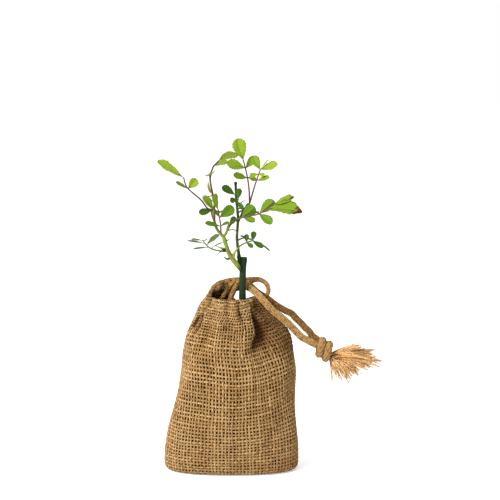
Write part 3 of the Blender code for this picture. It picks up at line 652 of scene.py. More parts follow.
def make_sack(rng):
    sheet, bearing = sack_sheet()
    height = sheet[..., 2].mean(axis=1)
    gathered = sheet[np.argmin(np.abs(height - GATHERS_FROM))]
    girth = np.linalg.norm(np.diff(gathered, axis=0), axis=1).sum()
    grown = np.interp(np.degrees(bearing), *smooth_through(WEFT_CLIMB, 361).T)
    shown = np.interp(height, CLIMB_HEIGHTS[:2], (0, 1))
    upper = np.arange(len(height)) >= np.argmax(height > CLIMB_HEIGHTS[2])
    shown[upper] = np.linspace(1, 0, upper.sum())
    lean = -WARP_LEAN * (np.clip(height, *LEAN_HEIGHTS) - LEAN_HEIGHTS[0])
    # painted shade on threads lying low between folds and down inside the mouth
    hollow = painted_crease_shade(bearing, height)
    hollow[-INSIDE_ROWS:] = INSIDE_PAINTED_SHADE
    cloth = laid(np.dstack([sheet, hollow]), (WEFTS - 1) * STEPS + 1, WARPS * STEPS, swallowed(bearing, height),
                 girth * SPARE, np.interp(height, *np.transpose(WEFT_PITCH)), grown * shown[:, None], lean)
    grid = cloth[..., :3]
    warp, weft = weave(cloth, rng)
    yarn = jute_thread("jute_yarn", (0.36, 0.228, 0.098), (0.215, 0.120, 0.043), (0.075, 0.031, 0.008),
                       stained_and_shaded=True)
    front = grid[FRONT_ROW, ::STEPS, 1] < 0
    lower = np.arange(WEFTS) < WEFTS // 2
    for name, threads, mask, closed in (("warp_front", warp, front, False), ("warp_back", warp, ~front, False),
                                        ("weft_lower", weft, lower, True), ("weft_upper", weft, ~lower, True)):
        piece(f"sack_{name}", chosen(threads, mask, closed), yarn, ["jute_sack"])
    # painted shade: a near-black sheet under the sack's threads that shows through the holes of the weave
    shade_backing = plain_jute("painted_shade_hessian", (0.008, 0.003, 0.001), (0.018, 0.008, 0.003))
    around = circle(CORE_BEARINGS)
    outer = wall_turns([(0.5, 46, 22.2, 0), *profile_rows(2, NECK_TOP - 0.6, 56)], CLOTH, around)
    inner = wall_turns(profile_rows(2.5, NECK_TOP - 0.6, 56)[::-1], CLOTH + 0.5, around)
    piece("sack_shade_backing", skin([*outer, *inner]), shade_backing, ["jute_sack"])
    rows, columns = rng.integers(30, len(grid) - 14, FUZZ), rng.integers(0, grid.shape[1], FUZZ)
    out = directions(grid)[2][rows, columns]
    fuzz = hairs(grid[rows, columns] + out * 0.5, out, rng, 0.9, 3.0, 0.055)
    piece("sack_fuzz", fuzz, yarn, ["jute_sack"])


def make_soil(rng):
    """The root ball: the wall's own turns further in, with a crumbly top drawn in to a point.

    Drawn in to a scale, the top is 2.4 (1 - scale^3) higher, with bumps sin x sin y and random grains."""
    turns = wall_turns(profile_rows(2.8, 105, 50), CLOTH + 1.1, circle(CORE_BEARINGS))
    centre = turns[-1].mean(axis=0)
    top = []
    for scale in np.linspace(0.97, 0.02, 30):
        ring = centre + (turns[-1] - centre) * scale
        x, y = ring[:, 0], ring[:, 1]
        bumps = 0.5 * np.sin(x * 0.9 + 1) * np.sin(y * 1.1) + 0.35 * np.sin(x * 2.3) * np.sin(y * 1.9 + 2)
        bumps = bumps + rng.normal(0, 0.12, len(ring))
        ring[:, 2] = centre[2] + 2.4 * (1 - scale**3) + bumps * (1 - scale**6)
        top.append(ring)
    piece("soil_ball", skin([*turns, *top]), soil_finish(), ["root_ball"])


# ---- hem loop -----------------------------------------------------------------------------
HEM_ROUTE = ((-14, 10.2, 132.2), (-11, 11.6, 133), (-7.8, 12.2, 133.9), (-4.4, 12.2, 134.6), (-0.2, 12.6, 135.4),
             (5, 13.2, 136.2), (10.9, 12.5, 137.6), (16.1, 11, 139.6), (21.3, 9, 140),
             (25.8, 7, 137.4), (27.6, 5, 133), (26.4, 3.4, 129.4))
HEM_HEIGHTS = (3, 4.4, 5.2, 5.5, 5.6, 5.2, 3.9, 2.4, 1.9, 1.9, 1.9, 1.7)
# sleeves of cloth: route, half heights, half thickness, threads along and round; first the hem, then
# the gathers that it is drawn into inside the mouth
SLEEVES = (
    (HEM_ROUTE, HEM_HEIGHTS, 1.7, 20, 50),
    (((-1.8, 11.5, 122), (-0.6, 9.6, 125.2), (0.4, 9.4, 128), (1.8, 9.8, 131.4), (3.5, 10.4, 135.1),
      (5.2, 11, 138.2), (6.9, 11.6, 139.8)), (1.8, 2, 2.1, 2.1, 2.1, 1.9, 1.5), 2, 10, 15),
    (((-7.4, 11.8, 124.6), (-5.8, 9.8, 127.6), (-4.3, 9.8, 130.6), (-1.9, 10.2, 134), (0.7, 10.8, 136.9),
      (3, 11.4, 139)), (1.6, 1.8, 1.9, 1.9, 1.7, 1.4), 1.9, 10, 14))
SLEEVE_STEP = 0.5
THREADS_INSET = 0.45            # of the threads' middles and of the cloth under them
CORE_INSET = 0.95
HEM_WEAVE = (0.44, 0.14, 0.12)  # threads' share of the cloth, rise and wandering


def sleeve(route, heights, thick, inset):
    """A flattened sleeve: point = middle - thick cos a out + tall sin a up, with slanting puckers that
    ride on its outside, and how deep each point lies between them, 0 to 1, which sets painted shade there."""
    rows = paced(np.column_stack([route, heights]), SLEEVE_STEP)
    route, tall = rows[:, :3], rows[:, 3:] - inset
    along = np.gradient(route, axis=0)
    out = unit(np.cross(along, Z))
    a = circle(96)
    run = np.arange(len(rows))[:, None] * SLEEVE_STEP
    pucker = 1.05 * np.sin(run + 3.4 * np.sin(a)) + 0.25 * np.sin(run * 2.2 + 3 * np.sin(a))
    pucker = pucker * np.clip((tall + inset - 1.9) / 3.0, 0.12, 1.0)
    deep = thick - inset + pucker
    points = rings(route, -out, unit(np.cross(out, along)), deep * np.cos(a), tall * np.sin(a))
    # the fourth number sets the painted shade between the puckers
    return np.dstack([points, ease(-pucker, 0.2, 1.1) * 0.8])


def make_hem_loop(rng):
    threads, cores = [], []
    for route, heights, thick, columns, wefts in SLEEVES:
        cloth = laid(sleeve(route, heights, thick, THREADS_INSET), (wefts - 1) * STEPS + 1, columns * STEPS)
        warp, weft = weave(cloth, rng, *HEM_WEAVE)
        threads += [chosen(warp, slice(None), False), chosen(weft, slice(None), True)]
        cores.append(skin(sleeve(route, heights, thick, CORE_INSET)[::3, :, :3]))
    yarn = jute_thread("golden_yarn", (0.34, 0.20, 0.066), (0.22, 0.116, 0.033), (0.070, 0.028, 0.008))
    core = plain_jute("golden_hessian", (0.048, 0.0228, 0.0078), (0.096, 0.051, 0.018))
    for name, shapes, finish in (("hem_threads", threads, yarn), ("hem_core", cores, core)):
        piece(name, joined(shapes), finish, ["hem_loop"])


# ---- drawstring, knot and tassel ------------------------------------------------------------
LOWER_ROUTE = ((11.4, 6.4, 135.2), (14.8, 1, 134.6), (19.3, -4.5, 131.7), (22.9, -7.6, 128.4),
               (26.3, -8.6, 124.6), (30.4, -8.8, 120.2), (35.3, -8.6, 116.2), (40.2, -8.3, 112),
               (43.5, -8.1, 108.8), (48.1, -8.1, 103.8), (51.4, -8.1, 100.5), (56.3, -8, 97.7),
               (62.6, -7.9, 94.5), (65.1, -7.5, 93.5))
UPPER_ROUTE = ((12.6, 12, 136.4), (15, 9, 134.7), (18.7, 5.6, 131.6), (22.4, 4.5, 129.4), (26.3, 2.4, 127.4),
               (29.7, 0.2, 125.1), (33.4, -1.8, 122.7), (39.3, -3.6, 119.4), (44.5, -4.2, 116.9),
               (47.1, -4.6, 114), (51, -5.2, 110.4), (54.3, -5.8, 106.8), (57.2, -6.3, 104.2),
               (59.5, -6.8, 101), (62.8, -7.2, 98.6), (65.8, -7.5, 95.8))
KNOT_MIDDLE = np.array((68.5, -7.5, 90.9))
KNOT_TILT = 15.0                # degrees, tops towards the tassel
# the cord's turns round the knot: middle, half height, half depth
KNOT_WRAPS = ((np.array((65.8, -7.5, 92.6)), 5.2, 3.2), (np.array((70.5, -7.9, 89.7)), 5.4, 3.4))
KNOT_ROPE = 1.9                 # from the middle of the rope to its strands'
KNOT_STRAND = 1.05
KNOT_STRANDS = 7
KNOT_CORE = (4.6, 4.4, 6.4)     # half sizes
TASSEL_ROOT = np.array((72.8, -7.5, 86.1))
# the fan of fibres from top to bottom: heading in degrees, and the longest reach there
TASSEL_REACH = ((32, 13), (24, 18), (16, 24), (9, 31), (3, 37), (-4, 40), (-11, 40),
                (-18, 37), (-22, 29), (-31, 27), (-43, 27), (-54, 24), (-64, 15))
# the first locks are strays with headings and reaches of their own
STRAYS = ((-84, 22), (-70, 21), (-66, 24), (-76, 19), (17, 26), (23, 17), (-58, 27), (-50, 26))
TASSEL_DEPTH = 0.34             # spread towards and away from the front
TASSEL_LOCKS = 80
LOCK_FIBRES = 10
FIBRE_ROWS = 8
BRAID = (0.75, 0.60, 6.4)       # depth, half width of a yarn, distance in which the yarns come round
BRAID_YARNS = 5
BRAID_STEP = 0.35


def braid(path, facing, half, depth, yarn, period):
    """A flat braid along evenly spaced points.

    Yarn k runs half sin(p) to the side and depth sin((n - 1)(p - 90 degrees)) out, where p turns once
    a period and starts k of n turns further round, so that yarns pass over and under in turn."""
    step = np.linalg.norm(np.diff(path, axis=0, prepend=path[:1]), axis=1)
    along = unit(np.gradient(path, axis=0))
    beside = unit(np.cross(facing, along))
    facing = np.cross(along, beside)
    p = np.cumsum(step)[None] / period * TURN + circle(BRAID_YARNS)[:, None]
    out = depth * np.sin((BRAID_YARNS - 1) * (p - TURN / 4))
    routes = path[None] + (half * np.sin(p))[..., None] * beside + out[..., None] * facing
    return tubes(routes, yarn, yarn * 0.8, facing, 6)


def turned(points, degrees, middle):
    """Points turned in the front view about a middle."""
    a = np.radians(degrees)
    spin = np.array([[np.cos(a), 0, np.sin(a)], [0, 1, 0], [-np.sin(a), 0, np.cos(a)]])
    return (np.asarray(points) - middle) @ spin.T + middle


def make_cords(rng):
    pale = jute_thread("pale_braid", (0.36, 0.22, 0.085), (0.25, 0.142, 0.05), (0.08, 0.036, 0.011), 0.2)
    brown = jute_thread("brown_braid", (0.20, 0.108, 0.036), (0.135, 0.066, 0.020), (0.035, 0.014, 0.005), 0.15)
    for name, route, half, finish in (("lower", LOWER_ROUTE, 2.2, pale), ("upper", UPPER_ROUTE, 2.05, brown)):
        shape = braid(paced(route, BRAID_STEP), -Y, half, *BRAID)
        spots = rng.integers(0, len(shape[0]), 60)
        fluff = hairs(shape[0][spots], rng.normal(size=(60, 3)), rng, 0.6, 1.6, 0.05)
        piece(f"{name}_cord", joined([shape, fluff]), finish, [f"cord_{name}"])
    knot = []
    a = circle(72)
    upright = np.stack([0 * a, np.cos(a), np.sin(a)], axis=-1)
    beside = turned(X[None], KNOT_TILT, 0 * X)
    for spot, tall, deep in KNOT_WRAPS:
        ring, out = turned(spot + upright * (0, deep, tall), KNOT_TILT, spot), turned(upright, KNOT_TILT, 0 * X)
        for start in circle(KNOT_STRANDS):
            twist = (a + start)[:, None]
            strand = ring + KNOT_ROPE * (np.cos(twist) * beside + np.sin(twist) * out)
            knot.append(tubes(strand[None], KNOT_STRAND, KNOT_STRAND, out[None], 7, True))
    long, deep, tall = KNOT_CORE
    points, faces, run = skin([KNOT_MIDDLE + X * long * np.sin(r) + upright[::2] * (0, deep, tall) * np.cos(r)
                               for r in np.radians(np.linspace(-84, 84, 16))])
    knot.append((turned(points, KNOT_TILT, KNOT_MIDDLE), faces, run))
    piece("drawstring_knot", joined(knot), pale, ["knot"])


def make_tassel(rng):
    """Frayed fibres in locks: each runs from the knot to near its lock's end in a low arch,
    point = root (1 - t) + end t + 4 bow t (1 - t); some locks have painted shade near the knot."""
    locks, each, rows = TASSEL_LOCKS, LOCK_FIBRES, FIBRE_ROWS
    headings, reaches = np.transpose(TASSEL_REACH)
    place = np.sort(rng.uniform(0, 1, locks))
    spread = np.linspace(0, 1, len(headings))
    a = np.interp(place, spread, headings) + rng.normal(0, 3, locks)
    reach = np.interp(place, spread, reaches) * rng.uniform(0.62, 1.0, locks)
    a[:len(STRAYS)], reach[:len(STRAYS)] = np.transpose(STRAYS)
    a = np.radians(a)
    way = unit(np.stack([np.cos(a), TASSEL_DEPTH * rng.uniform(-1, 1, locks), np.sin(a)], axis=-1))[:, None]
    ends = TASSEL_ROOT + way * reach[:, None, None]
    ends = ends + rng.normal(0, 0.9, (locks, each, 3)) - way * rng.uniform(0, 5, (locks, each, 1))
    roots = TASSEL_ROOT + rng.normal(0, (0.7, 1.2, 1.2), (locks, each, 3)) + 0.9 * way
    bow = rng.normal(0, 0.55, (locks, 1, 1, 3)) + rng.normal(0, 0.35, (locks, each, 1, 3))
    bow[..., 2] += 0.05 * reach[:, None, None]
    t = np.linspace(0, 1, rows)[None, None, :, None]
    routes = roots[:, :, None] * (1 - t) + ends[:, :, None] * t + bow * 4 * t * (1 - t)
    fibres = locks * each
    thin = np.linspace(1, 0.55, rows)[None] * rng.uniform(0.19, 0.34, (fibres, 1))
    # painted shade near the knot on some locks
    shaded = np.where(rng.uniform(size=(locks, 1)) < 0.4, np.linspace(1.5, -2.0, rows).clip(0, 1), 0.0)
    shaded = np.repeat(shaded, each, axis=0)
    share = 0.4 * np.repeat(rng.uniform(size=(locks, 1)), each, axis=0) + 0.6 * rng.uniform(size=(fibres, 1))
    share = share * (1 - shaded) - 0.75 * shaded
    shape = tubes(routes.reshape(fibres, rows, 3), thin, thin, rng.normal(size=(fibres, 1, 3)), 4, share=share)
    fray = jute_thread("frayed_jute", (0.96, 0.66, 0.33), (0.84, 0.50, 0.20), (0.44, 0.19, 0.05))
    piece("frayed_tassel", shape, fray, ["tassel"])


# ---- limbs --------------------------------------------------------------------------------
SAP = (0.155, 0.195, 0.026)
PALE_RUN = ((0.35, (0.15, 0.165, 0.024)), (0.6, (0.14, 0.125, 0.024)), (0.8, SAP))
# colours at shares of a limb's length, and roughness
BARKS = {
    "dark_green_bark": (((0, (0.013, 0.025, 0.006)), (1, (0.010, 0.024, 0.006))), 0.6),
    "cut_wood": (((0, (0.05, 0.045, 0.02)), (1, (0.09, 0.075, 0.035))), 0.45),
    "deep_green_bark": (((0.04, (0.006, 0.008, 0.004)), (0.16, (0.010, 0.026, 0.006)),
                         (0.30, (0.027, 0.047, 0.005)), (0.86, (0.034, 0.060, 0.006)),
                         (0.94, (0.006, 0.009, 0.004))), 0.45),
    "pale_green_bark": (((0, SAP), *PALE_RUN), 0.5),
    "footed_green_bark": (((0, (0.022, 0.020, 0.008)), (0.16, SAP), *PALE_RUN), 0.5),
    "rusty_bark": (((0, SAP), (0.22, (0.085, 0.13, 0.016)), (0.30, (0.085, 0.040, 0.012)),
                    (0.45, (0.085, 0.055, 0.015)), (0.56, (0.105, 0.030, 0.008)), (0.78, (0.10, 0.038, 0.012)),
                    (0.9, (0.030, 0.008, 0.010))), 0.42),
    "tan_stipule": (((0, (0.085, 0.036, 0.012)), (0.55, (0.115, 0.095, 0.022)), (1, (0.09, 0.12, 0.02))), 0.5),
    "leaf_rachis": (((0.1, (0.060, 0.085, 0.018)), (0.45, (0.085, 0.055, 0.022)), (0.75, (0.13, 0.034, 0.034)),
                     (1, (0.075, 0.013, 0.020))), 0.4)}
# ridges of the bark: how many round the limb, share of the radius
WOODY = ((9, 0.045), (17, 0.03), (5, 0.03))
GREEN = ((5, 0.05), (8, 0.03))
# each limb's route, radii along it, points round it, ridges, swellings as place along the limb, half
# length and height, bark, and the bark's slot
LIMB_SHAPES = {
    "trunk": (((8.5, 0, 107.6), (8.3, 0, 122), (8.3, 0, 138), (8.7, 0, 149), (9.5, 0, 158)),
              (2.75, 2.55, 2.4, 2.2), 48, WOODY, ((0.96, 2, 0.15),), "dark_green_bark", "dark_bark"),
    "dark_stem": (((6.6, -1, 149.6), (6, -1.4, 155), (5.6, -1.8, 161.5), (4.4, -2, 171.8), (5, -2, 182),
                   (5.2, -2, 188), (4.3, -2, 198), (3.8, -2.2, 204.2), (3.5, -3, 213.5)),
                  (1.5, 1.2, 1.05, 1, 1, 0.95, 0.9, 0.85), 24, GREEN,
                  ((0.14, 1.2, 0.35), (0.56, 1, 0.45), (0.78, 0.9, 0.3), (0.985, 0.8, 0.25)),
                  "deep_green_bark", "dark_bark"),
    "main_shoot": (((6.9, -2.8, 149.2), (4.1, -4.4, 153.8), (0.4, -5, 158.8), (-2.1, -5.4, 163.4),
                    (-3.3, -6, 167.2), (-5.3, -6.2, 174)), (1.15, 1.55, 1.8, 1.7, 1.6, 1.5, 1.4, 1.35, 1.25),
                   28, GREEN, ((0.42, 1.4, 0.25), (0.9, 1.6, 0.3)), "footed_green_bark", "pale_bark"),
    "left_branch": (((-5.3, -6.2, 174), (-7.6, -6.8, 176.4), (-9.7, -7.2, 179.3), (-11.3, -7.6, 183.4),
                     (-12.6, -8, 191.5), (-11.6, -8, 198), (-12.8, -8, 204.2), (-14.2, -7.8, 211.1),
                     (-14.8, -7, 217.5), (-13.6, -6, 222.1), (-12.4, -5, 225.2)),
                    (1.15, 1, 0.9, 0.85, 0.8, 0.7, 0.6, 0.5), 22, GREEN,
                    ((0.2, 1, 0.2), (0.56, 0.9, 0.25), (0.86, 0.7, 0.2)), "rusty_bark", "pale_bark"),
    "side_shoot": (((5.4, -1.8, 184.6), (7.4, 0.4, 188.6), (9.2, 2.4, 192.6), (13.4, 4.6, 197)),
                   (0.9, 0.75, 0.75, 0.7), 20, GREEN, ((0.9, 1, 0.25),), "rusty_bark", "pale_bark")}
LIMB_STEP = 0.45
LIMB_CREASE = 50                # degrees between faces above which an edge looks sharp
CUT_SCALES = (1, 0.8, 0.55, 0.3, 0.05)
# stipules: limb, where they start and end on it, radius there and where they flare
STIPULES = (
    ("left_branch", (-12, -7.6, 186.6), (-12.4, -8, 195), 1, 1.75),
    ("left_branch", (-12.6, -8, 202.4), (-13.3, -8, 206), 0.85, 1),
    ("side_shoot", (11, 3.2, 194.6), (13.4, 4.6, 197), 0.8, 1.2),
    ("left_branch", (-14.7, -7, 216.8), (-13.6, -6, 220.6), 0.65, 0.95))
LIMBS = {}                      # each limb's path and radii, once it is made


def limb(name, route, radii, sides, ridges, swellings, seed):
    """A limb with its bark's relief: radius = taper + swellings + ridges that wind slowly."""
    rng = np.random.default_rng(seed)
    path = paced(route, LIMB_STEP)
    rows = len(path)
    share = np.linspace(0, 1, rows)
    radius = np.interp(share, np.linspace(0, 1, len(radii)), radii)
    LIMBS[name] = (path, radius)
    for place, half, tall in swellings:
        radius = radius + tall * bell((share - place) * rows * LIMB_STEP, half)
    along = unit(np.gradient(path, axis=0))
    side = unit(np.cross(along, Y))
    a = circle(sides)
    relief = sum(depth * np.cos(count * a + rng.uniform(0, TURN) + share[:, None] * rng.normal(0, 2.5))
                 for count, depth in ridges)
    relief = relief + 0.25 * ridges[0][1] * drift(rng, sides, rows, 5).T
    radius = radius[:, None] * (1 + relief)
    points = rings(path, side, np.cross(along, side), radius * np.cos(a), radius * np.sin(a))
    cap = points[-1].mean(axis=0)
    points = np.concatenate([points, cap + (points[-1:] - cap) * 0.86 + along[-1] * 0.12])
    return toned(skin(points), np.r_[share, 1])


def toned(shape, tones):
    """The shape with its runs' third number set row by row."""
    shape[2].reshape(len(tones), -1, 3)[..., 2] = np.asarray(tones)[:, None]
    return shape


def on_limb(name, near):
    """A point just under the bark of a limb, on the side that faces near."""
    path, radius = LIMBS[name]
    k = int(np.argmin(np.linalg.norm(path - near, axis=1)))
    return path[k] + unit(near - path[k]) * radius[k] * 0.6


def twig(route, radii, sides=8, tones=(0.05, 0.05)):
    """A thin round twig through points, its radius going through the given ones evenly and its tone
    from one share to another."""
    path = paced(route, 0.5)
    place = np.linspace(0, 1, len(path))
    radius = np.interp(place, np.linspace(0, 1, len(radii)), radii)[None]
    return toned(tubes(path[None], radius, radius, Y * 0.9 + X * 0.3, sides), np.interp(place, (0, 1), tones))


# small growths: limb, route after its root on it, radii
GREEN_GROWTHS = (
    ("main_shoot", ((-3.4, -6.4, 176.6), (-2.3, -6.4, 180.3), (-1, -6.6, 183.7)), (1, 0.95, 0.85, 0.55)),
    ("main_shoot", ((-2.6, -5.2, 178), (0.6, -5, 179), (3.4, -3.6, 178.2), (4.6, -2.6, 175.2)),
     (0.5, 0.5, 0.45, 0.4, 0.3)),
    ("main_shoot", ((-4.6, -5.3, 165), (-7.6, -4, 165.6), (-11, -1.6, 166.6)), (0.9, 0.8, 0.5, 0.3)),
    ("main_shoot", ((2.2, -6.2, 159.4), (2.9, -7, 162.6), (5.4, -8, 166)), (0.9, 0.85, 0.7, 0.45)),
    ("left_branch", ((-14.6, -6.6, 206.5), (-15.9, -6.4, 209.5), (-16.4, -6.2, 213.9)), (0.4, 0.9, 0.9, 0.25)),
    ("left_branch", ((-15.6, -7.8, 219.2), (-17, -8, 218.6), (-18.8, -8.2, 218.6)), (0.6, 0.7, 0.5, 0.15)),
    ("left_branch", ((-13.2, -7.4, 220.2), (-12.2, -7.8, 221.2), (-11, -7.8, 222.4)), (0.5, 0.5, 0.4, 0.12)),
    ("left_branch", ((-14, -9.2, 195.4), (-14.4, -9.6, 197), (-14.3, -9.8, 199)), (0.8, 0.7, 0.5, 0.12)),
)
DARK_GROWTHS = (
    ("main_shoot", ((-4.2, -5.9, 164.5), (-5.6, -6.4, 164.7), (-7.2, -6.6, 165.2)), (0.8, 1, 0.7, 0.15)),
    ("main_shoot", ((-4.4, -5.9, 163.5), (-7.7, -6.4, 162.8), (-10.4, -7, 160.6)), (0.35, 0.35, 0.3, 0.15)),
    ("main_shoot", ((-2.4, -5.6, 157.5), (-4, -6, 158.3), (-5, -6.2, 159)), (0.9, 0.75, 0.6, 0.3)),
    ("main_shoot", ((-3.1, -6.6, 171.4), (-1.6, -6.9, 171.8), (-0.8, -7, 172.4)), (0.6, 0.5, 0.3, 0.08)),
    ("dark_stem", ((6.6, -2, 197.7), (8.5, -1.5, 199.2), (10.6, -1, 199.9)), (0.4, 0.32, 0.3, 0.2)),
    ("left_branch", ((-16.5, -9.6, 203.6), (-18.6, -10.6, 204.6), (-20.6, -11.4, 203.6)), (0.3, 0.3, 0.25, 0.15)),
    ("left_branch", ((-11.6, -9, 201.6), (-11.1, -9.3, 201.3)), (0.5, 0.5, 0.2)),
)


def grown(growths):
    """Small growths as one shape, each from its limb through its own points."""
    return joined([twig([on_limb(host, route[0]), *route], radii) for host, route, radii in growths])


def sheath(host, start, end, wide, flare):
    """A stipule wrapped round a limb: radius grows from wide to flare, open folds as three soft ribs."""
    path = LIMBS[host][0]
    first, last = (int(np.argmin(np.linalg.norm(path - point, axis=1))) for point in (start, end))
    route = smooth_through(path[min(first, last):max(first, last) + 1][::3], 18)[::1 if first <= last else -1]
    along = unit(np.gradient(route, axis=0))
    side = unit(np.cross(along, Y))
    a = circle(24)
    grow = np.linspace(0, 1, len(route))
    reach = wide + (flare - wide) * np.sin(grow[:, None] * np.pi * 0.75)
    reach = reach * (1 + 0.16 * grow[:, None] * np.cos(3 * a + 0.5))
    shape = skin(rings(route, side, np.cross(along, side), reach * np.cos(a), reach * 0.8 * np.sin(a)))
    return toned(shape, grow)


def cut_face(name):
    """The slightly domed cut on a limb's top, as rings drawn in to its middle."""
    path, radius = LIMBS[name]
    a = circle(48)
    ring = np.stack([np.cos(a), np.sin(a), 0 * a], -1)
    disc = [path[-1] + Z * (0.16 + 0.05 * (1 - scale)) + scale * radius[-1] * 0.84 * ring for scale in CUT_SCALES]
    return skin([disc[0] - Z * 0.3, *disc])


def make_limbs():
    barks = {name: bark(name, *look) for name, look in BARKS.items()}
    for seed, (name, (*form, tone, slot)) in enumerate(LIMB_SHAPES.items(), 1):
        piece(f"{name}_bark", limb(name, *form, seed), barks[tone], [name], LIMB_CREASE)
        if name == "trunk":
            piece("trunk_cut", cut_face(name), barks["cut_wood"], [name], LIMB_CREASE)
    piece("green_growths", grown(GREEN_GROWTHS), barks["pale_green_bark"],
          ["main_shoot", "left_branch"])
    piece("dark_growths", grown(DARK_GROWTHS), barks["dark_green_bark"], ["main_shoot", "dark_stem"])
    stipules = joined([sheath(*row) for row in STIPULES])
    piece("stipules", stipules, barks["tan_stipule"], ["left_branch"])
    return barks


# ---- leaves -------------------------------------------------------------------------------
STALK_RADII = (0.66, 0.58, 0.46)
LEAFLET_STALK = ((0.34, 0.28, 0.12), 0.24)  # radii, and length over the leaflet's
LEAFLET_BREADTH = 0.5           # over its length
LEAFLET_DROOP = 0.05
NARROWEST = 1.8                 # true breadth over the shown one, at most
STEEPEST = 0.7                  # of a leaflet's run in depth over its run in the front view
# distance along a leaflet and its half breadth there
OUTLINE = ((0.0, 0.06), (0.05, 0.09), (0.16, 0.32), (0.30, 0.60), (0.46, 0.86), (0.64, 1.0), (0.80, 0.95),
           (0.91, 0.72), (0.97, 0.42), (1.0, 0.10))
BLADE_ROWS = 46
BLADE_ACROSS = 11
TEETH = 7
TOOTH = 0.2                     # depth of a tooth over the half breadth
VEINS = 7
# a blade's cup, rib groove, quilting and edge wave over its breadth, and half its thickness
CUP, GROOVE, QUILT, EDGE_WAVE, LEAF_HALF = 0.12, 0.05, 0.022, 0.035, 0.10

# Each pinnate leaf: its limb, the route of its stalk, the way its upper side faces, its tint, and
# its leaflets as place along the stalk, heading in the front view, length, breadth as it shows and,
# for a bent one, the share of its length that its tip swings anticlockwise, and for some a tint of their own.
LEAVES = {
    "leaf_top": ("side_shoot", ((13.6, 4.8, 197.4), (13.2, 7, 207), (11.8, 9, 216.8), (8.9, 11, 228.7)),
        (0.4, -0.8, 0.3), "bright",
        ((1, 106, 16.3, 9.9), (0.83, 161, 13.9, 7.2, 0, "lime"), (0.62, 165, 10.4, 4.6), (0.82, 48, 12.4, 6.4),
         (0.64, -18, 6.8, 3.4))),
    "leaf_top_right": ("side_shoot", ((13.8, 4.2, 197.4), (15.5, 3, 203.9), (18.3, 1, 213.3), (21.5, -2, 222.8)),
        (-0.3, -0.8, 0.4), "bright",
        ((0.98, 118, 11, 6.2), (1, 22, 12.8, 5), (0.96, 57, 10.2, 0.9), (0.87, -160, 7.4, 3.4),
         (0.87, -8, 4.2, 3), (0.70, 17, 9.3, 3))),
    "leaf_right": ("main_shoot", ((-1, -6.6, 183), (1.2, -6.6, 184.6), (5.2, -7.4, 187.2), (13.2, -10, 189.6),
        (20.6, -13, 191.6), (31.2, -15, 198.8)), (0.1, -0.8, 0.6), "fresh",
        ((0.14, 62, 7.6, 4.4), (0.47, 40, 12.8, 8.6), (0.50, -14, 8.8, 4), (0.79, -27, 11.3, 5.8),
         (0.80, 44, 14.4, 8.2), (1, 23, 16, 4.2), (0.88, 20, 28.2, 7.8, -0.38))),
    # its first leaflet takes deep as painted shade, and two take lime as painted light
    "leaf_left": ("left_branch", ((-13.2, -9, 193.4), (-17, -11.2, 195.6), (-21.4, -14.4, 201.8),
        (-30, -19.4, 210), (-32.4, -21, 214.6), (-33.2, -22, 218.4)), (-0.3, -0.8, 0.5), "bright",
        ((0.03, -172, 9.6, 4.9, 0, "deep"), (0.00, 112, 13.2, 4.4, 0.25, "lime"), (0.61, 48, 9.2, 6.6),
         (0.61, 150, 9.6, 2.2), (1, 142, 22, 4.8, 0, "lime"))),
    "leaf_arched": ("left_branch", ((-12.5, -5, 225), (-9.2, -3, 228.3), (-6.3, -1, 231.1)),
        (-0.2, -0.8, 0.6), "olive", ((0.02, 30, 10.4, 4.4, -0.2), (0.55, 38, 13.4, 6.4, -0.35))),
    "leaf_middle": ("left_branch", ((-6.6, -8, 176.7), (-7.4, -10, 183.8), (-8.3, -11, 189.3),
        (-9, -12, 194.4)), (0.2, -0.8, 0.3), "fresh",
        ((0.25, 164, 11.3, 2.9), (0.26, 24, 6.9, 2.2), (0.62, 36, 12.7, 7.8), (0.65, 128, 4.6, 1.8),
         (1, 103, 12.4, 4.2, 0, "bright"))),
    "stem_leaf_left": ("dark_stem", ((3.8, -2, 200.7), (3, 0, 204.1)), (0.3, -0.8, 0.6), "deep",
        ((0.92, 146, 11.2, 5.2), (0.10, -160, 4.2, 4.4))),
    "stem_leaf_right": ("dark_stem", ((4.8, -2.4, 198.5), (5.4, -3.4, 201.3)), (-0.4, -0.8, 0.4), "deep",
        ((0.92, 84, 8.2, 4.4), (0.30, -52, 6.4, 3.4))),
    "leaf_low_left": ("main_shoot", ((-3.5, -4.8, 162.6), (-11.6, 0, 163.4), (-16.9, 4, 165.4),
        (-20.9, 8, 169.4)), (-0.2, -0.8, 0.6), "dusky",
        ((0.62, -173, 12, 1.2), (0.84, 173, 13.6, 1.3), (1, 174, 9, 1.2), (0.96, 26, 3.4, 0.8),
         (0.76, 40, 11.8, 3.2), (0.50, 38, 9.2, 0.9, -0.3))),
    "leaf_low_right": ("main_shoot", ((2.5, -5.9, 160.6), (5.9, -8, 166.8), (11, -11, 170.2),
        (16.3, -14, 172.3)), (0.1, -0.8, 0.6), "deep",
        ((0.69, 89, 6, 3.5), (0.97, 82, 6.7, 4.2), (0.69, -30, 5.5, 3.3), (0.96, -26, 8.6, 3.4),
         (1, -16, 14.6, 1, -0.2))),
    "leaf_back_right": ("dark_stem", ((5.2, -1.2, 191), (8.2, 6, 191.6), (12, 13, 191),
        (15, 20, 189)), (0, -0.5, 0.9), "fresh",
        ((0.45, 10, 9, 5), (0.48, 125, 8, 4), (0.72, 14, 9, 4.4), (0.76, 118, 8.6, 4),
         (1, 66, 11, 6))),
    "leaf_back_left": ("left_branch", ((-12.2, -7.4, 190), (-12.2, 1, 191), (-10.6, 9, 191),
        (-8.4, 17, 189)), (0, -0.5, 0.9), "fresh",
        ((0.45, 30, 8, 4.4), (0.48, 140, 8, 4), (0.72, 26, 8.4, 4.4), (0.76, 136, 8.4, 4),
         (1, 78, 11, 5.6))),
    "leaf_back_low": ("dark_stem", ((4.6, -1.2, 170.4), (7.4, 4, 171.2), (10, 9, 171),
        (12.4, 14, 169.6)), (0, -0.5, 0.9), "deep",
        ((0.60, 12, 7, 3.6), (0.66, 118, 7, 3.6), (1, 60, 8, 4.4))),
}
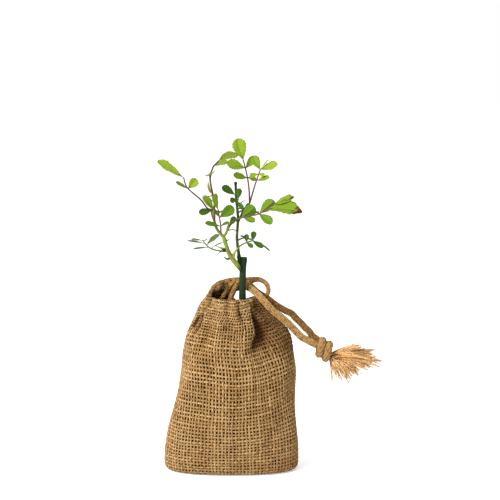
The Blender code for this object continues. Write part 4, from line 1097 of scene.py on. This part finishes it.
# how red each stalk is at its foot and at its end, from sap green to maroon
STALK_BLUSH = {
    "leaf_top": (0.8, 0.95), "leaf_top_right": (0.5, 0.75), "leaf_right": (0, 0.95), "leaf_left": (0.85, 1),
    "leaf_arched": (0.5, 0.5), "leaf_middle": (0.6, 0.95), "leaf_low_left": (0.05, 0.3),
    "leaf_low_right": (0, 0.2)}
OTHER_BLUSH = (0.1, 0.1)
SINGED = ("leaf_right", 5)      # its leaflets from this one on have burnt tips
SINGED_SHARP = 0.42             # how much narrower those are at the tip
# the leaf's colour, its veins' and the shade between them
TINTS = {
    # lime: a lighter copy of bright, painted light on leaflets turned away from the lamp
    "lime": ((0.225, 0.320, 0.018), (0.27, 0.35, 0.045), (0.17, 0.27, 0.012)),
    "bright": ((0.138, 0.200, 0.007), (0.19, 0.235, 0.026), (0.096, 0.160, 0.004)),
    "fresh": ((0.072, 0.140, 0.004), (0.118, 0.172, 0.016), (0.046, 0.104, 0.003)),
    "deep": ((0.034, 0.082, 0.004), (0.066, 0.115, 0.012), (0.017, 0.050, 0.002)),
    "olive": ((0.135, 0.185, 0.012), (0.18, 0.215, 0.034), (0.09, 0.14, 0.008)),
    "dusky": ((0.06, 0.09, 0.027), (0.096, 0.12, 0.048), (0.033, 0.054, 0.0168)),
}
BLOTCHED = {"olive": (0.09, 0.07, 0.03)}
# the same with burnt ends: colour, veins, shade between them, no blotches, burnt
SINGED_TINT = ((0.115, 0.168, 0.008), (0.16, 0.20, 0.022), (0.080, 0.140, 0.005), None, (0.046, 0.008, 0.003))


def leaflet_frame(root, facing, heading, length, shown):
    """A leaflet's root, directions along, across and up, length, breadth, and the way it swings.

    It heads as given in the front view, runs in depth with the leaf's plane, and is rolled about its
    length until its true breadth shows as much as wanted from the front."""
    a = np.radians(heading)
    look, rise = (Y, Z) if abs(facing[1]) > abs(facing[2]) else (Z, Y)
    axis = np.cos(a) * X + np.sin(a) * rise
    axis = axis + look * np.clip(-(facing @ axis) / (facing @ look), -STEEPEST, STEEPEST)
    length = length * np.linalg.norm(axis)
    axis = unit(axis)
    breadth = max(shown, min(LEAFLET_BREADTH * length, NARROWEST * shown))
    flat = unit(np.cross(axis, look))
    deep = unit(look - axis * (axis @ look))
    roll = np.arccos(min(1.0, shown / breadth))
    for turn in (1, -1):
        side = np.cos(roll) * flat + turn * np.sin(roll) * deep
        upper = np.cross(side, axis)
        if upper[2] * upper[1] <= 0:
            break
    if upper[2] < 0:
        side, upper = -side, -upper
    swing = side * np.sign(side @ (rise * np.cos(a) - X * np.sin(a)))
    return root, axis, side, upper, length, breadth, swing


def blade(root, axis, side, upper, length, breadth, swing, bend, rng, share, sharp):
    """A toothed, cupped blade with thickness, bent in its own plane.

    At t along and s across, point = root + (axis t + swing bend t^2) length + side (breadth / 2) w(t) s
    + upper lift, where the lift is the cup |s|, less the droop t^2 and the groove of the rib, plus the
    quilting between side veins and a slow wave of the edge."""
    t = np.linspace(0, 1, BLADE_ROWS)[:, None]
    half = np.interp(t[:, 0], *smooth_through(OUTLINE, 200).T)[:, None] * breadth / 2
    half = np.maximum(half * (1 - sharp * ease(t, 0.76, 1.0)), max(0.16, 1.2 - 0.4 * breadth) * (1 - t))
    half = half * (1 + TOOTH * ((t * TEETH) % 1.0 - 0.5) * ease(t, 0.25, 0.45))
    s = np.linspace(-1, 1, BLADE_ACROSS)[None]
    around = np.concatenate([s, s[:, -2:0:-1]], axis=1)
    beside = np.abs(around)
    over = np.r_[np.ones(BLADE_ACROSS), -np.ones(BLADE_ACROSS - 2)][None]
    spine = root + axis * length * t - upper * length * LEAFLET_DROOP * t**2
    spine = spine + (swing * bend + side * rng.normal(0, 0.035)) * length * t * t
    fullness = half / breadth * 2
    groove = bell(around, 0.12) * ease(t, 0.0, 0.1) * (1 - ease(t, 0.85, 1.0))
    quilt = np.cos(TURN * (VEINS * t - 2.2 * beside)) * beside * (1.2 - beside) * fullness
    wave = np.sin(2.4 * TURN * t + rng.uniform(0, TURN)) * around**3 * fullness
    lift = breadth * (CUP * fullness * beside - GROOVE * groove + QUILT * quilt + EDGE_WAVE * wave)
    lift = lift + over * LEAF_HALF * (1 - around**4)
    points = spine[:, None] + (half * around)[..., None] * side + lift[..., None] * upper
    run = np.stack(np.broadcast_arrays(around, t, share), axis=-1)
    faces = ring_faces(1, len(points), points.shape[1])
    return points.reshape(-1, 3), [face[::-1] for face in faces], run.reshape(-1, 3)


def make_leaves(rng, barks):
    stalks, singed = [], []
    finishes = {name: leaf_finish(f"{name}_leaf", *tint, BLOTCHED.get(name)) for name, tint in TINTS.items()}
    for name, (host, route, facing, tint, leaflets) in LEAVES.items():
        route = [on_limb(host, route[0]), *route[1:]]
        fine = smooth_through(route, 200)
        ahead = unit(fine[-1] - fine[0])
        facing = unit(np.array(facing) - ahead * (np.array(facing) @ ahead))
        blush = STALK_BLUSH.get(name, OTHER_BLUSH)
        stalks.append(twig(route, STALK_RADII, 8, blush))
        blades = {}
        for k, (place, heading, length, shown, *more) in enumerate(leaflets):
            bend, own = (*more, *(0.0, tint)[len(more):])
            root = fine[int(min(place, 0.985) * 199)]
            form = leaflet_frame(root, facing, heading, length, shown)
            radii, share = LEAFLET_STALK
            reach = form[1] * form[4] * share
            stalks.append(twig([root, root + reach / 2, root + reach], radii, 6, (blush[1] * 0.6, 0.2)))
            burns = name == SINGED[0] and k >= SINGED[1]
            kind = singed if burns else blades.setdefault(own, [])
            kind.append(blade(*form, bend, np.random.default_rng(k), rng.uniform(), SINGED_SHARP * burns))
        for own, shapes in blades.items():
            piece(name + ("_blades" if own == tint else f"_{own}_blades"), joined(shapes), finishes[own],
                  [name])
    piece("leaf_stalks", joined(stalks), barks["leaf_rachis"], list(LEAVES))
    burnt = leaf_finish("singed_leaf", *SINGED_TINT)
    piece("singed_blades", joined(singed), burnt, [SINGED[0]])


# ---- studio -------------------------------------------------------------------------------
FLOOR = ((-6, -6, 0), (6, -6, 0), (6, 6, 0), (-6, 6, 0))
KEY_PLACE, KEY_AIM = (-0.78, -0.72, 0.85), (0.01, 0.0, 0.1)
KEY_SIZE, KEY_POWER = 0.70, 35
VIEW_MIDDLE = (0.0139, 0.0, 0.1634)
VIEW_DISTANCE = 1.1
VIEW_RISE = 8.0                 # degrees above the level
VIEW_ANGLE = 18.84              # degrees across the frame
SENSOR = 36


def studio():
    """A pale floor lit from beneath a little, like a light table, soft light from the upper left, and
    the camera."""
    floor = Finish("studio_floor", Roughness=0.9, Specular_IOR_Level=0.0, Emission_Color=(1, 1, 1, 1),
                   Emission_Strength=0.36)
    floor.wear(floor.blend(floor.noise(3.0, 1.0), (0.79, 0.79, 0.79), (0.80, 0.80, 0.80)))
    mesh = bpy.data.meshes.new("floor")
    mesh.from_pydata(FLOOR, [], [(0, 1, 2, 3)])
    mesh.materials.append(floor.material)
    ground = placed("floor", mesh)
    scene = bpy.context.scene
    scene.world = bpy.data.worlds.new("studio")
    scene.world.use_nodes = True
    sky = scene.world.node_tree.nodes["Background"].inputs
    sky["Color"].default_value, sky["Strength"].default_value = (1, 1, 1, 1), 1.0
    lamp = placed("key", bpy.data.lights.new("key", "AREA"))
    lamp.data.energy, lamp.data.size = KEY_POWER, KEY_SIZE
    lamp.location = KEY_PLACE
    aim = np.subtract(KEY_AIM, KEY_PLACE)
    lamp.rotation_euler = (np.arccos(-aim[2] / np.linalg.norm(aim)), 0, np.arctan2(-aim[0], aim[1]))
    eye = placed("camera", bpy.data.cameras.new("camera"))
    eye.data.sensor_width = SENSOR
    eye.data.lens = SENSOR / (2 * np.tan(np.radians(VIEW_ANGLE / 2)))
    rise = np.radians(VIEW_RISE)
    eye.location = np.array(VIEW_MIDDLE) + VIEW_DISTANCE * np.array([0, -np.cos(rise), np.sin(rise)])
    eye.rotation_euler = (np.pi / 2 - rise, 0, 0)
    scene.camera = eye
    scene.view_settings.view_transform = "Standard"


studio()
make_sack(np.random.default_rng(11))
make_soil(np.random.default_rng(12))
make_hem_loop(np.random.default_rng(13))
make_cords(np.random.default_rng(14))
make_tassel(np.random.default_rng(15))
make_leaves(np.random.default_rng(16), make_limbs())
